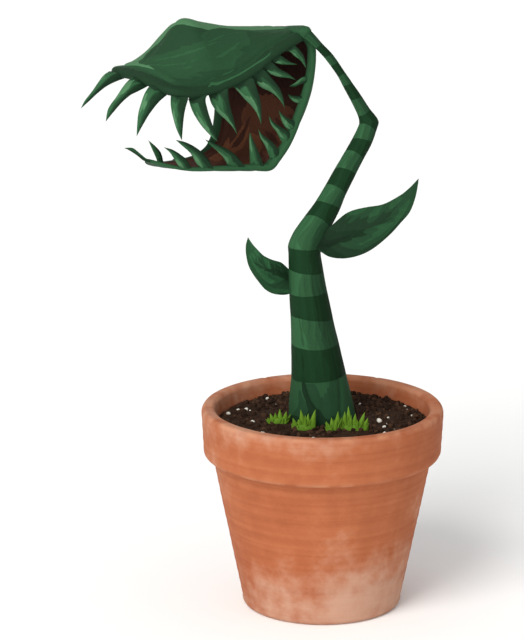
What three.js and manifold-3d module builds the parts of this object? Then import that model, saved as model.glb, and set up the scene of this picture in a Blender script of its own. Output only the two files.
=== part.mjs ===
// Potted venus flytrap: one open trap on a bent, banded stalk with two leaves and
// grass tufts at its foot, planted in a plain terracotta pot.
// Millimetres, +Z up. The pot stands on z = 0, its axis is the Z axis.
// +X is to the right and -Y toward the viewer of the front view.
import * as THREE from 'three';
import * as BufferGeometryUtils from 'three/addons/utils/BufferGeometryUtils.js';
import Module from 'manifold-3d';

const wasm = await Module();
wasm.setup();

// ---------------------------------------------------------------- dimensions
const POT_TOP_R = 32;          // outer radius of the rim
const POT_BASE_R = 21;         // outer radius of the foot
const POT_HEIGHT = 54;
const POT_WALL = 3.6;
const POT_FLOOR = 4.5;
const RIM_BAND = 13;           // height of the thick band below the rim
const DRAIN_HOLES = 3;
const DRAIN_HOLE_R = 3;
const DRAIN_HOLE_AT = 11.5;
const SOIL_Z = 50.5;           // soil level at the stalk
const SOIL_EDGE_Z = 49.6;      // soil level at the pot wall
const FOOT_DEPTH = 11;         // how deep the stalk's foot sits in the soil
const CLEAR = 0.3;             // gap kept between touching pieces

const UNIT = 0.17;             // millimetres per unit of the front-view outline
const TILT = THREE.MathUtils.degToRad(15);   // the outline is seen from 15 degrees above
const VIEW_DISTANCE = 900;
const FOOT_U = 374.5, FOOT_V = 620;          // outline position of the stalk's foot
const AXIS_U = 281, AXIS_V = 468;            // outline position of the view axis

const TRAP_TURN = THREE.MathUtils.degToRad(36);  // the midrib's direction in plan
const TRAP_WIDTH = 168 * UNIT;                   // length of the midrib
const TRAP_Y = 6;                                // depth of the midrib's near end
const LOBE_HALF_THICK = 0.8;
const LOBE_RIM_R = 1.15;
const LOWER_TIP_THIN = 0.5;      // the lower lobe thins to this share at its front

// ---------------------------------------------------------------- view outline
const V3 = (x, y, z) => new THREE.Vector3(x, y, z);
const RIGHT = V3(1, 0, 0);
const UPV = V3(0, Math.sin(TILT), Math.cos(TILT));
const BACK = V3(0, -Math.cos(TILT), Math.sin(TILT));
const AIM = V3(0, 0, SOIL_Z)
  .addScaledVector(RIGHT, (AXIS_U - FOOT_U) * UNIT)
  .addScaledVector(UPV, (FOOT_V - AXIS_V) * UNIT);
const EYE = AIM.clone().addScaledVector(BACK, VIEW_DISTANCE);

function sight(u, v) {
  return AIM.clone().addScaledVector(RIGHT, (u - AXIS_U) * UNIT)
    .addScaledVector(UPV, -(v - AXIS_V) * UNIT).sub(EYE).normalize();
}
// outline point (u, v) at depth y
function at(u, v, y) {
  const d = sight(u, v);
  return EYE.clone().addScaledVector(d, (y - EYE.y) / d.y);
}
// outline point (u, v) on the plane through p with normal n
function onPlane(u, v, p, n) {
  const d = sight(u, v);
  return EYE.clone().addScaledVector(d, p.clone().sub(EYE).dot(n) / d.dot(n));
}
function outline(p) {
  const w = p.clone().sub(EYE);
  const z = -w.dot(BACK);
  return [AXIS_U + w.dot(RIGHT) / z * VIEW_DISTANCE / UNIT,
    AXIS_V - w.dot(UPV) / z * VIEW_DISTANCE / UNIT];
}

// ---------------------------------------------------------------- splines
// cubic Hermite through knots; values are numbers or arrays of numbers
function spline(knots, values, t) {
  const n = knots.length;
  if (t <= knots[0]) t = knots[0];
  if (t >= knots[n - 1]) t = knots[n - 1];
  let i = 0;
  while (i < n - 2 && t > knots[i + 1]) i++;
  const h = knots[i + 1] - knots[i];
  const s = (t - knots[i]) / h;
  const one = (get) => {
    const slope = (j) => {
      if (j === 0) return (get(1) - get(0)) / (knots[1] - knots[0]);
      if (j === n - 1) return (get(n - 1) - get(n - 2)) / (knots[n - 1] - knots[n - 2]);
      return (get(j + 1) - get(j - 1)) / (knots[j + 1] - knots[j - 1]);
    };
    const a = get(i), b = get(i + 1), ma = slope(i) * h, mb = slope(i + 1) * h;
    const s2 = s * s, s3 = s2 * s;
    return (2 * s3 - 3 * s2 + 1) * a + (s3 - 2 * s2 + s) * ma
      + (-2 * s3 + 3 * s2) * b + (s3 - s2) * mb;
  };
  if (typeof values[0] === 'number') return one((j) => values[j]);
  return values[0].map((_, k) => one((j) => values[j][k]));
}
// polyline resampled by length at fraction t
function along(points, t) {
  const d = [0];
  for (let i = 1; i < points.length; i++) {
    d.push(d[i - 1] + Math.hypot(points[i][0] - points[i - 1][0], points[i][1] - points[i - 1][1]));
  }
  return spline(d, points, t * d[d.length - 1]);
}

// ---------------------------------------------------------------- meshes
function build(points, triangles) {
  const g = new THREE.BufferGeometry();
  const a = new Float32Array(points.length * 3);
  points.forEach((p, i) => { a[3 * i] = p.x; a[3 * i + 1] = p.y; a[3 * i + 2] = p.z; });
  g.setAttribute('position', new THREE.BufferAttribute(a, 3));
  g.setIndex(triangles.flat());
  return facingOut(g);
}
function volume(g) {
  const p = g.getAttribute('position'), ix = g.getIndex();
  let v = 0;
  const a = V3(), b = V3(), c = V3();
  for (let i = 0; i < ix.count; i += 3) {
    a.fromBufferAttribute(p, ix.getX(i));
    b.fromBufferAttribute(p, ix.getX(i + 1));
    c.fromBufferAttribute(p, ix.getX(i + 2));
    v += a.dot(b.cross(c)) / 6;
  }
  return v;
}
function facingOut(g) {
  if (volume(g) >= 0) return g;
  const ix = g.getIndex().array;
  for (let i = 0; i < ix.length; i += 3) { const t = ix[i + 1]; ix[i + 1] = ix[i + 2]; ix[i + 2] = t; }
  return g;
}
// closed rings of equal length, skinned in order; a ring of one point is a tip
function loft(rings) {
  const pts = [], tri = [], start = [];
  for (const r of rings) { start.push(pts.length); pts.push(...r); }
  for (let k = 0; k < rings.length - 1; k++) {
    const a = rings[k].length, b = rings[k + 1].length, n = Math.max(a, b);
    for (let j = 0; j < n; j++) {
      const a0 = start[k] + (a === 1 ? 0 : j), a1 = start[k] + (a === 1 ? 0 : (j + 1) % n);
      const b0 = start[k + 1] + (b === 1 ? 0 : j), b1 = start[k + 1] + (b === 1 ? 0 : (j + 1) % n);
      if (a > 1) tri.push([a0, a1, b0]);
      if (b > 1) tri.push([a1, b1, b0]);
    }
  }
  const cap = (k, flip) => {
    const r = rings[k];
    if (r.length === 1) return;
    const c = r.reduce((s, p) => s.add(p), V3(0, 0, 0)).multiplyScalar(1 / r.length);
    const i = pts.length;
    pts.push(c);
    for (let j = 0; j < r.length; j++) {
      const p = start[k] + j, q = start[k] + (j + 1) % r.length;
      tri.push(flip ? [i, p, q] : [i, q, p]);
    }
  };
  cap(0, false);
  cap(rings.length - 1, true);
  return build(pts, tri);
}
function solid(geometry) {
  let g = geometry.clone();
  g.deleteAttribute('normal');
  g.deleteAttribute('uv');
  g = facingOut(BufferGeometryUtils.mergeVertices(g, 1e-5));
  return new wasm.Manifold(new wasm.Mesh({
    numProp: 3,
    vertProperties: Float32Array.from(g.getAttribute('position').array),
    triVerts: Uint32Array.from(g.getIndex().array),
  }));
}
// back to a geometry, keeping only the largest connected piece
function geometryOf(manifold) {
  const m = manifold.getMesh();
  const n = m.vertProperties.length / m.numProp;
  const parent = Array.from({ length: n }, (_, i) => i);
  const find = (i) => { while (parent[i] !== i) { parent[i] = parent[parent[i]]; i = parent[i]; } return i; };
  for (let k = 0; k < (m.mergeFromVert ? m.mergeFromVert.length : 0); k++) {
    parent[find(m.mergeFromVert[k])] = find(m.mergeToVert[k]);
  }
  for (let i = 0; i < m.triVerts.length; i += 3) {
    parent[find(m.triVerts[i])] = find(m.triVerts[i + 1]);
    parent[find(m.triVerts[i + 1])] = find(m.triVerts[i + 2]);
  }
  const groups = new Map();
  for (let i = 0; i < m.triVerts.length; i += 3) {
    const r = find(m.triVerts[i]);
    if (!groups.has(r)) groups.set(r, []);
    groups.get(r).push(m.triVerts[i], m.triVerts[i + 1], m.triVerts[i + 2]);
  }
  let best = null, most = -1;
  for (const tris of groups.values()) {
    const g = new THREE.BufferGeometry();
    const pos = new Float32Array(n * 3);
    for (let i = 0; i < n; i++) for (let k = 0; k < 3; k++) pos[3 * i + k] = m.vertProperties[i * m.numProp + k];
    g.setAttribute('position', new THREE.BufferAttribute(pos, 3));
    g.setIndex(tris);
    const v = Math.abs(volume(g));
    if (v > most) { most = v; best = g; }
  }
  return best;
}
const cut = (geometry, ...tools) => {
  let s = solid(geometry);
  for (const t of tools) s = s.subtract(solid(t));
  return geometryOf(s);
};
const join = (geometries) => {
  let s = solid(geometries[0]);
  for (const g of geometries.slice(1)) s = s.add(solid(g));
  return geometryOf(s);
};

// elliptical ring: half axes a along e1 and b along e2
function ellipse(centre, e1, a, e2, b, n) {
  const r = [];
  for (let j = 0; j < n; j++) {
    const t = 2 * Math.PI * j / n;
    r.push(centre.clone().addScaledVector(e1, a * Math.cos(t)).addScaledVector(e2, b * Math.sin(t)));
  }
  return r;
}

// ---------------------------------------------------------------- trap frame
// f points out of the mouth, l along the midrib to its near end, up is +Z
const LV = V3(Math.sin(TRAP_TURN), -Math.cos(TRAP_TURN), 0);
const FV = V3(-Math.cos(TRAP_TURN), -Math.sin(TRAP_TURN), 0);
const TRAP_NEAR = at(345, 25, TRAP_Y);
const TRAP_MID = TRAP_NEAR.clone().addScaledVector(LV, -TRAP_WIDTH / 2);
const trap = (f, l, v) => TRAP_MID.clone().addScaledVector(FV, f).addScaledVector(LV, l).add(V3(0, 0, v));
function trapOf(p) {
  const d = p.clone().sub(TRAP_MID);
  return [d.dot(FV), d.dot(LV), d.z];
}
// outline point on the trap's plane at lateral position l, as [f, l, v]
const onL = (u, v, l) => trapOf(onPlane(u, v, trap(0, l, 0), LV));

// ---------------------------------------------------------------- lobes
// A sheet is three guide curves (near, middle, far), each [f, l, v] over s = 0..1.
function sheetPoint(sheet, s, w) {
  const a = spline(sheet.knots, sheet.near, s);
  const m = spline(sheet.knots, sheet.middle, s);
  const b = spline(sheet.knots, sheet.far, s);
  const k = Math.pow(Math.abs(w), sheet.power);
  const q = [0, 1, 2].map((i) => m[i] + w * (a[i] - b[i]) / 2 + k * ((a[i] + b[i]) / 2 - m[i]));
  return trap(q[0], q[1], q[2]);
}
function sheetNormal(sheet, s, w) {
  const e = 0.01;
  const s0 = Math.max(0, s - e), s1 = Math.min(1, s + e), w0 = Math.max(-1, w - e), w1 = Math.min(1, w + e);
  const ds = sheetPoint(sheet, s1, w).sub(sheetPoint(sheet, s0, w));
  const dw = sheetPoint(sheet, s, w1).sub(sheetPoint(sheet, s, w0));
  return ds.cross(dw).normalize().multiplyScalar(sheet.side);
}
// edge of the lobe over an angle: 0 = near side, quarter turn = front tip
function sheetEdge(sheet, angle) {
  const c = Math.cos(angle), s = Math.sin(angle);
  const p = s >= 0 ? sheet.frontPower : sheet.backPower;
  const r = Math.pow(Math.pow(Math.abs(c), p) + Math.pow(Math.abs(s), p), -1 / p);
  const w = c * r, x = s * r;
  return [sheet.centre + x * (s >= 0 ? 1 - sheet.centre : sheet.centre - sheet.root), w];
}
// the edge at equal steps of its real length
function evenEdge(sheet, count) {
  const fine = 1200, length = [0], where = [];
  for (let i = 0; i <= fine; i++) {
    where.push(sheetEdge(sheet, 2 * Math.PI * i / fine));
    if (i > 0) length.push(length[i - 1] + sheetPoint(sheet, ...where[i]).distanceTo(sheetPoint(sheet, ...where[i - 1])));
  }
  const out = [];
  let i = 0;
  for (let j = 0; j < count; j++) {
    const target = length[fine] * (j + 0.5) / count;
    while (length[i + 1] < target) i++;
    out.push(where[i]);
  }
  return out;
}
function lobeSolid(sheet, grow, around, across, rimSteps) {
  const pts = [], tri = [];
  const top = sheetPoint(sheet, sheet.centre, 0), nTop = sheetNormal(sheet, sheet.centre, 0);
  const half = (r, s) => {
    const x = Math.min(1, Math.max(0, (r - 0.7) / 0.3));
    const k = x * x * (3 - 2 * x);
    const y = Math.min(1, Math.max(0, (s - 0.6) / 0.4));
    const thin = 1 - (1 - sheet.tipThin) * y * y * (3 - 2 * y);
    return (LOBE_HALF_THICK + (LOBE_RIM_R - LOBE_HALF_THICK) * k) * thin + grow;
  };
  pts.push(top.clone().addScaledVector(nTop, half(0, sheet.centre)));
  pts.push(top.clone().addScaledVector(nTop, -half(0, sheet.centre)));
  const rings = [];
  const edges = evenEdge(sheet, around);
  const rows = [];
  for (let i = 1; i <= across; i++) rows.push(['out', 1 - Math.pow(1 - i / across, 1.4)]);
  for (let k = 1; k < rimSteps; k++) rows.push(['rim', Math.PI * k / rimSteps]);
  for (let i = across; i >= 1; i--) rows.push(['in', 1 - Math.pow(1 - i / across, 1.4)]);
  const rimPoint = edges.map(([s, w]) => sheetPoint(sheet, s, w));
  for (const [kind, x] of rows) {
    const ring = [];
    for (let j = 0; j < around; j++) {
      const [es, ew] = edges[j];
      const r = kind === 'rim' ? 1 : x;
      const s = sheet.centre + (es - sheet.centre) * r, w = ew * r;
      const p = sheetPoint(sheet, s, w), n = sheetNormal(sheet, s, w);
      if (kind === 'rim') {
        const t = rimPoint[(j + 1) % around].clone().sub(rimPoint[(j + around - 1) % around]).normalize();
        const out = t.clone().cross(n).normalize();
        const inward = sheetPoint(sheet, sheet.centre + (es - sheet.centre) * 0.97, ew * 0.97);
        if (out.dot(p.clone().sub(inward)) < 0) out.negate();
        p.addScaledVector(n, half(1, s) * Math.cos(x)).addScaledVector(out, half(1, s) * Math.sin(x));
      } else {
        p.addScaledVector(n, (kind === 'out' ? 1 : -1) * half(r, s));
      }
      ring.push(p);
    }
    rings.push(ring);
  }
  const start = rings.map((r) => { const i = pts.length; pts.push(...r); return i; });
  for (let j = 0; j < around; j++) {
    const k = (j + 1) % around;
    tri.push([0, start[0] + j, start[0] + k]);
    for (let i = 0; i < rings.length - 1; i++) {
      const a = start[i] + j, b = start[i] + k, c = start[i + 1] + j, d = start[i + 1] + k;
      tri.push([a, c, d], [a, d, b]);
    }
    const e = start[rings.length - 1];
    tri.push([1, e + k, e + j]);
  }
  return build(pts, tri);
}

// upper lobe: the near guide is the middle of the lip seen in the front view
const UPPER_L = 14.3;
const upperNear = [[350, 28], [332, 35.5], [316, 44.5], [297, 56], [282, 70.5], [262, 85], [240, 97],
  [222, 105], [200, 112], [177, 117], [150, 119.5]].map(([u, v]) => onL(u, v, UPPER_L));
const upperNearV = (f) => spline(upperNear.map((q) => q[0]), upperNear.map((q) => q[2]), f);
const UPPER_F = [-1.6, 3, 7, 11, 15, 19, 23, 27, 29.5, 32, 35, 38.5, 41];
const UPPER_MID_V = [-1.3, -0.5, -0.1, 0.4, 1.0, 1.9, 2.9, 3.9, 1.9, -1.2, -4.2, -7.1, -9.0];
const UPPER_FAR_V = [-6.5, -6.8, -7.3, -7.8, -8.3, -8.9, -9.5, -10.1, -10.3, -10.3, -10.2, -9.9, -9.8];
const UPPER_FRONT = UPPER_F[UPPER_F.length - 1], UPPER_BACK = UPPER_F[0];
const upperSheet = {
  knots: UPPER_F.map((f) => (f - UPPER_BACK) / (UPPER_FRONT - UPPER_BACK)),
  near: UPPER_F.map((f) => [f, UPPER_L, upperNearV(f)]),
  middle: UPPER_F.map((f, i) => [f, 0, UPPER_MID_V[i]]),
  far: UPPER_F.map((f, i) => [f, -UPPER_L - 1.1 * Math.max(0, f) / UPPER_FRONT, UPPER_FAR_V[i]]),
  power: 1.8, side: 1, tipThin: 1, centre: 0.52, root: 0, frontPower: 7, backPower: 9,
};

// lower lobe: back wall drops from the midrib, then the floor runs forward
const LOWER_L = 13.4;
const lowerNearUV = [[354, 27], [357.5, 42], [358, 60], [356.5, 80], [352, 105], [344.5, 130], [336.5, 152],
  [328, 175], [318, 196], [304, 217], [292.5, 230.6]];
const lowerFarUV = [[226, 60], [219, 85], [215.5, 108], [214, 128], [213.5, 146], [212, 162], [209.5, 177],
  [205.5, 190.5], [198, 203.5], [184.5, 214.5], [168, 221]];
const lowerNear = lowerNearUV.map(([u, v]) => onL(u, v, LOWER_L));
const lowerFar = lowerFarUV.map(([u, v]) => onL(u, v, -LOWER_L));
lowerNear.push([14, LOWER_L, -33.3], [22, LOWER_L, -32.5], [30.2, LOWER_L, -32.3], [37.4, LOWER_L, -31.3]);
lowerFar.push([22.5, -LOWER_L, -35.9], [28, -LOWER_L, -35.2], [33.3, -LOWER_L, -33.8], [37.4, -LOWER_L, -31.8]);
const lowerMiddle = [[-1.6, -2.6], [-4.6, -6.3], [-6.4, -10.8], [-6.9, -15.6], [-6.3, -20.4], [-4.8, -24.8], [-2.3, -28.6],
  [1.2, -31.6], [5.6, -33.8], [10.6, -35.1], [16, -35.3], [22, -35], [28, -34.1], [33.3, -32.9], [37.4, -31.3]]
  .map(([f, v]) => [f, 0, v]);
const lowerSheet = {
  knots: lowerMiddle.map((_, i) => i / (lowerMiddle.length - 1)),
  near: lowerNear, middle: lowerMiddle, far: lowerFar,
  power: 2, side: -1, tipThin: LOWER_TIP_THIN, centre: 0.70, root: 0, frontPower: 1.8, backPower: 9,
};

// midrib: arched tube from the near end, where the stalk joins, to the far end
const MIDRIB = [[-0.3, 15.4, 0.6], [-0.6, 14.2, 0.4], [-1.4, 9, -0.6], [-1.8, 3, -1.8], [-1.7, -3, -3.3],
  [-1.2, -9, -5.3], [-0.6, -13.6, -7.2], [-0.4, -15, -7.8]];
const MIDRIB_R = [0.9, 1.75, 1.95, 1.95, 1.85, 1.7, 1.35, 0.6];
function midribSolid(grow, steps, sides) {
  const knots = MIDRIB.map((_, i) => i / (MIDRIB.length - 1));
  const rings = [];
  for (let i = 0; i <= steps; i++) {
    const t = i / steps;
    const q = spline(knots, MIDRIB, t), q1 = spline(knots, MIDRIB, Math.min(1, t + 0.02));
    const q0 = spline(knots, MIDRIB, Math.max(0, t - 0.02));
    const c = trap(...q);
    const axis = trap(...q1).sub(trap(...q0)).normalize();
    const e1 = axis.clone().cross(V3(0, 0, 1)).normalize();
    const e2 = axis.clone().cross(e1).normalize();
    const r = spline(knots, MIDRIB_R, t) + grow;
    rings.push(ellipse(c, e1, r, e2, r, sides));
  }
  return loft(rings);
}

// ---------------------------------------------------------------- teeth
// Both side edges of each bristle in the front view, from its root to its tip.
const UPPER_TEETH = [
  { a: [[44.8, 81.8], [35.6, 88.7], [27.5, 99], [17.2, 114], [5.7, 128.9], [0, 140.4]],
    b: [[79.2, 89.4], [62, 94.4], [43.6, 102.9], [27.5, 115.1], [11.5, 130], [0, 140.4]], splay: -1.5 },
  { a: [[79.2, 91], [67.7, 103.6], [55.1, 122], [42.5, 140.4], [38.6, 160.6]],
    b: [[106.8, 104.1], [94.1, 110.5], [78, 118.5], [64.3, 130], [50.5, 146], [38.6, 160.6]], splay: 0 },
  { a: [[106.8, 104.8], [98.7, 117.4], [93, 133.5], [89, 149.5], [87.2, 168], [86.6, 183.5]],
    b: [[138.9, 115], [122.8, 127.7], [109, 145], [96.4, 165.6], [86.6, 183.5]], splay: 0.8 },
  { a: [[139.6, 115], [139.6, 133.5], [142.3, 151.8], [148, 171.3], [156.8, 190.2]],
    b: [[166.9, 126], [164.2, 133.5], [160.7, 147.2], [158.4, 170.2], [156.8, 190.2]], splay: 1.6 },
  { a: [[166.9, 126], [172.2, 142.7], [181.4, 158.7], [192.9, 173.6], [204.3, 185.1], [212.4, 191.3]],
    b: [[197, 117], [193.5, 126.6], [196.3, 140.4], [202, 158.7], [206.6, 172.5], [212.4, 191.3]], splay: 2 },
  { a: [[197.4, 117.4], [203.2, 133.5], [213.5, 147.2], [226, 158.7], [236.5, 170.2], [242.7, 181.2]],
    b: [[228.4, 109.4], [229.6, 122], [233, 140.4], [237.6, 158.7], [242.7, 181.2]], splay: 2 },
  { a: [[233.9, 103.9], [242.9, 112.5], [253.6, 125], [264.3, 135.7], [273.2, 148.2], [280, 165.2]],
    b: [[268.4, 95], [274, 110.7], [277.7, 123.2], [280, 139.3], [280.4, 153.6], [280, 165.2]], splay: 2.2 },
  { a: [[267, 97], [278.6, 107], [294.6, 114.3], [305.4, 123.2], [313.4, 134], [316.4, 140.2]],
    b: [[285.7, 81], [296.4, 93.8], [307, 107], [313.4, 121.4], [316.4, 140.2]], splay: 2.4 },
  { a: [[285, 81.5], [294.6, 87.5], [307, 91], [323.2, 92.9], [333.6, 95.9]],
    b: [[298, 69], [309, 78.6], [321.4, 85.7], [333.6, 95.9]], splay: 2.4 },
  { a: [[298, 68.5], [309, 71.4], [321.4, 72], [336, 72]],
    b: [[309.8, 56.8], [316, 61.6], [325, 67.5], [336, 72]], splay: 2.4 },
  { a: [[315.7, 51.8], [323, 51.5], [332, 59], [341, 66], [349.6, 78]],
    b: [[330, 40.2], [339.3, 49], [346.4, 60.7], [349.6, 78]], splay: 2.4 },
];
const LOWER_TEETH = [
  { a: [[110, 224], [98.7, 221.4], [87.2, 212.7], [73.5, 204.2], [67, 201.2]],
    b: [[108, 219.4], [101, 217.4], [89.5, 208], [80.4, 201.2], [67, 201.2]], splay: 0 },
  { a: [[119.8, 226], [115.9, 215], [110.2, 202.3], [104.5, 189]],
    b: [[129, 228.6], [125, 210.4], [117, 200], [104.5, 189]], splay: 1 },
  { a: [[158.4, 234.3], [150.4, 227.6], [144.6, 218.4], [137.8, 208], [128.6, 200]],
    b: [[172.7, 234.3], [165.3, 220.7], [156, 212.7], [142.3, 204], [128.6, 200]], splay: 0.5 },
  { a: [[184.8, 234.8], [177.9, 223], [169.9, 209.2], [158.4, 198.9], [146.9, 188.6]],
    b: [[206.6, 234], [192.9, 212.7], [179, 201.2], [163, 192.7], [146.9, 188.6]], splay: 0 },
  { a: [[229.6, 233], [222.7, 218.4], [213.5, 208], [202, 197.8], [192.4, 187.9]],
    b: [[255.5, 231], [238.8, 211.5], [222.7, 201.2], [206.6, 193.6], [192.4, 187.9]], splay: 0 },
  { a: [[262.5, 230], [261.6, 205.4], [261.3, 189.3], [262, 175.9]],
    b: [[284.8, 230], [275, 205.4], [267, 187.5], [262, 175.9]], splay: 0 },
  { a: [[295.5, 223], [285.7, 198.2], [278.6, 185.7], [275, 171.8]],
    b: [[310, 214.5], [302.7, 198.2], [292.9, 188.4], [282, 180.4], [275, 171.8]], splay: 0 },
  { a: [[317, 200], [310.7, 191], [303.6, 176.8], [294.6, 164.3], [291.4, 150.9]],
    b: [[328.5, 185.5], [321.4, 175], [310.7, 168.8], [300, 161.6], [291.4, 150.9]], splay: 0 },
  { a: [[327, 179], [316, 167.9], [309.8, 153.6], [307, 142.9]],
    b: [[337, 162], [325, 156.3], [314.3, 150], [307, 142.9]], splay: 0 },
  { a: [[347.5, 132], [341, 132.5], [332, 130.4], [325, 125], [321.4, 117.9]],
    b: [[348.5, 118.5], [337.5, 120.2], [328.6, 120], [321.4, 117.9]], splay: -0.6 },
  { a: [[351, 99], [339.3, 103.6], [332, 106.6], [323.2, 105.7]],
    b: [[351, 88], [341, 92.9], [332, 100], [323.2, 105.7]], splay: -0.6 },
];
// hidden side: root angle on the lobe's edge, direction [f, l, v], length
const UPPER_FAR_TEETH = [
  { at: 0.80, dir: [-0.25, -0.90, -0.30], length: 5.5 }, { at: 0.89, dir: [-0.16, -0.90, -0.42], length: 10 },
  { at: 0.985, dir: [-0.05, -0.90, -0.43], length: 10.5 }, { at: 1.075, dir: [-0.02, -0.90, -0.42], length: 9.5 },
  { at: 1.165, dir: [-0.02, -0.92, -0.40], length: 8 }, { at: 1.245, dir: [-0.05, -0.95, -0.32], length: 6 },
];
const LOWER_FAR_TEETH = [
  { at: 0.925, dir: [-0.60, -0.76, -0.18], length: 7 }, { at: 1.0, dir: [-0.60, -0.76, -0.24], length: 9 },
  { at: 1.08, dir: [-0.62, -0.76, -0.16], length: 9 }, { at: 1.165, dir: [-0.64, -0.76, -0.06], length: 8 },
  { at: 1.235, dir: [-0.64, -0.76, 0.06], length: 6.5 },
];
const TOOTH_FLAT = 0.72;       // depth of a bristle over its width

// position on the lobe's edge that the front view shows nearest to (u, v)
function edgeNear(sheet, u, v, from, to) {
  let best = null, least = Infinity;
  for (let i = 0; i <= 600; i++) {
    const angle = from + (to - from) * i / 600;
    const [s, w] = sheetEdge(sheet, angle);
    const p = sheetPoint(sheet, s, w);
    const [pu, pv] = outline(p);
    const d = Math.hypot(pu - u, pv - v);
    if (d < least) { least = d; best = { angle, point: p }; }
  }
  return best;
}
function toothFromView(sheet, tooth, steps, sides, rootShare) {
  const ua = along(tooth.a, 0), ub = along(tooth.b, 0);
  const root = edgeNear(sheet, (ua[0] + ub[0]) / 2, (ua[1] + ub[1]) / 2, -0.5 * Math.PI * 0.98, Math.PI * 0.98);
  const l0 = trapOf(root.point)[1];
  const centre = [], width = [];
  for (let i = 0; i <= steps; i++) {
    const t = i / steps;
    if (i === 0) {
      const p = along(tooth.a, 0), q = along(tooth.b, 0);
      centre.push(root.point);
      width.push(Math.hypot(p[0] - q[0], p[1] - q[1]) * UNIT / 2 * rootShare);
    }
    const p = along(tooth.a, t), q = along(tooth.b, t);
    const l = l0 + tooth.splay * t;
    const c = onPlane((p[0] + q[0]) / 2, (p[1] + q[1]) / 2, trap(0, l, 0), LV);
    centre.push(c);
    width.push(onPlane(p[0], p[1], c, BACK).sub(onPlane(q[0], q[1], c, BACK)).length() / 2);
  }
  return toothLoft(centre, width, sides);
}
function toothFromRim(sheet, tooth, steps, sides) {
  const angle = tooth.at * Math.PI;
  const [s, w] = sheetEdge(sheet, angle);
  const p = sheetPoint(sheet, s, w);
  const d = FV.clone().multiplyScalar(tooth.dir[0]).addScaledVector(LV, tooth.dir[1])
    .add(V3(0, 0, tooth.dir[2])).normalize();
  const centre = [], width = [];
  for (let i = 0; i <= steps; i++) {
    const t = i / steps;
    centre.push(p.clone().addScaledVector(d, tooth.length * t).add(V3(0, 0, -1.6 * t * t)));
    width.push(1.75 * Math.pow(1 - t, 0.85));
  }
  return toothLoft(centre, width, sides);
}
function toothLoft(centre, width, sides) {
  const rings = [];
  const n = centre.length;
  for (let i = 0; i < n; i++) {
    if (i === n - 1) { rings.push([centre[i]]); break; }
    const axis = centre[Math.min(n - 1, i + 1)].clone().sub(centre[Math.max(0, i - 1)]).normalize();
    const e1 = axis.clone().cross(BACK).normalize();
    const e2 = axis.clone().cross(e1).normalize();
    rings.push(ellipse(centre[i], e1, width[i], e2, width[i] * TOOTH_FLAT, sides));
  }
  return loft(rings);
}

// ---------------------------------------------------------------- stalk
// Left and right edge of each section in the front view, with its depth.
const STEM = [
  [322, 620, 427, 620, 0], [322.3, 604, 424, 601, 0], [322.8, 591, 420, 585, -0.1], [324.5, 573, 415.5, 567, -0.4],
  [326, 556, 411, 549, -0.7], [326.2, 530, 405, 524, -1.4], [326, 502, 399, 499, -2.1],
  [325.6, 480, 394, 479, -2.8], [324.8, 459, 389.5, 458, -3.5], [323, 425, 382, 423, -4.8],
  [322, 388, 375.5, 388, -6.2], [321.6, 364, 372, 365, -7], [321.5, 351, 374, 351, -7.2],
  [329, 333, 379, 343, -6.6], [339, 318, 384, 332, -5.8], [350, 303, 390, 320, -4.8], [364, 284, 401, 298, -3], [380, 258, 409, 277, -0.8],
  [394, 233, 424.5, 246, 2.2], [410, 206, 437, 221, 5.6], [420.5, 187.5, 450.6, 196, 8.2],
  [428.5, 171.5, 459, 172, 10], [431.5, 163, 461.5, 159, 10.8], [429.5, 151, 448, 140.5, 10.9], [418.5, 127.5, 434.5, 120, 10.4],
  [406.5, 105.5, 419.5, 98, 9.8], [399, 91, 409.8, 84, 9.3], [387, 73.5, 398, 66.5, 8.5], [376.5, 60, 388, 53.5, 7.7],
  [364.5, 47.5, 375, 40, 7], [354.5, 38, 365.5, 29, 6.5], [346, 31, 356, 18.5, 6.2],
];
function stemSolid(grow, sides) {
  const rows = STEM.map(([a, b, c, d, y]) => ({ p: at(a, b, y), q: at(c, d, y) }));
  const centres = rows.map(({ p, q }) => p.clone().add(q).multiplyScalar(0.5));
  const rings = [];
  const foot = centres[0], r0 = rows[0].p.distanceTo(rows[0].q) / 2;
  for (const [dz, k] of [[-FOOT_DEPTH, 0.55], [-FOOT_DEPTH * 0.65, 0.8], [-FOOT_DEPTH * 0.25, 0.95]]) {
    const r = r0 * k + grow;
    rings.push(ellipse(foot.clone().add(V3(0, 0, dz - (dz === -FOOT_DEPTH ? grow : 0))), RIGHT, r, V3(0, -1, 0), r, sides));
  }
  rows.forEach(({ p, q }, i) => {
    const h = q.clone().sub(p).multiplyScalar(0.5);
    const r = h.length();
    const e1 = h.clone().normalize();
    const c = centres[i];
    const next = centres[Math.min(i + 1, rows.length - 1)], last = i === 0 ? c.clone().add(V3(0, 0, -4)) : centres[i - 1];
    const axis = next.clone().sub(last).normalize();
    const e2 = axis.clone().cross(e1).normalize().multiplyScalar(-1);
    rings.push(ellipse(c, e1, r + grow, e2, r + grow, sides));
  });
  return loft(rings);
}

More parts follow.
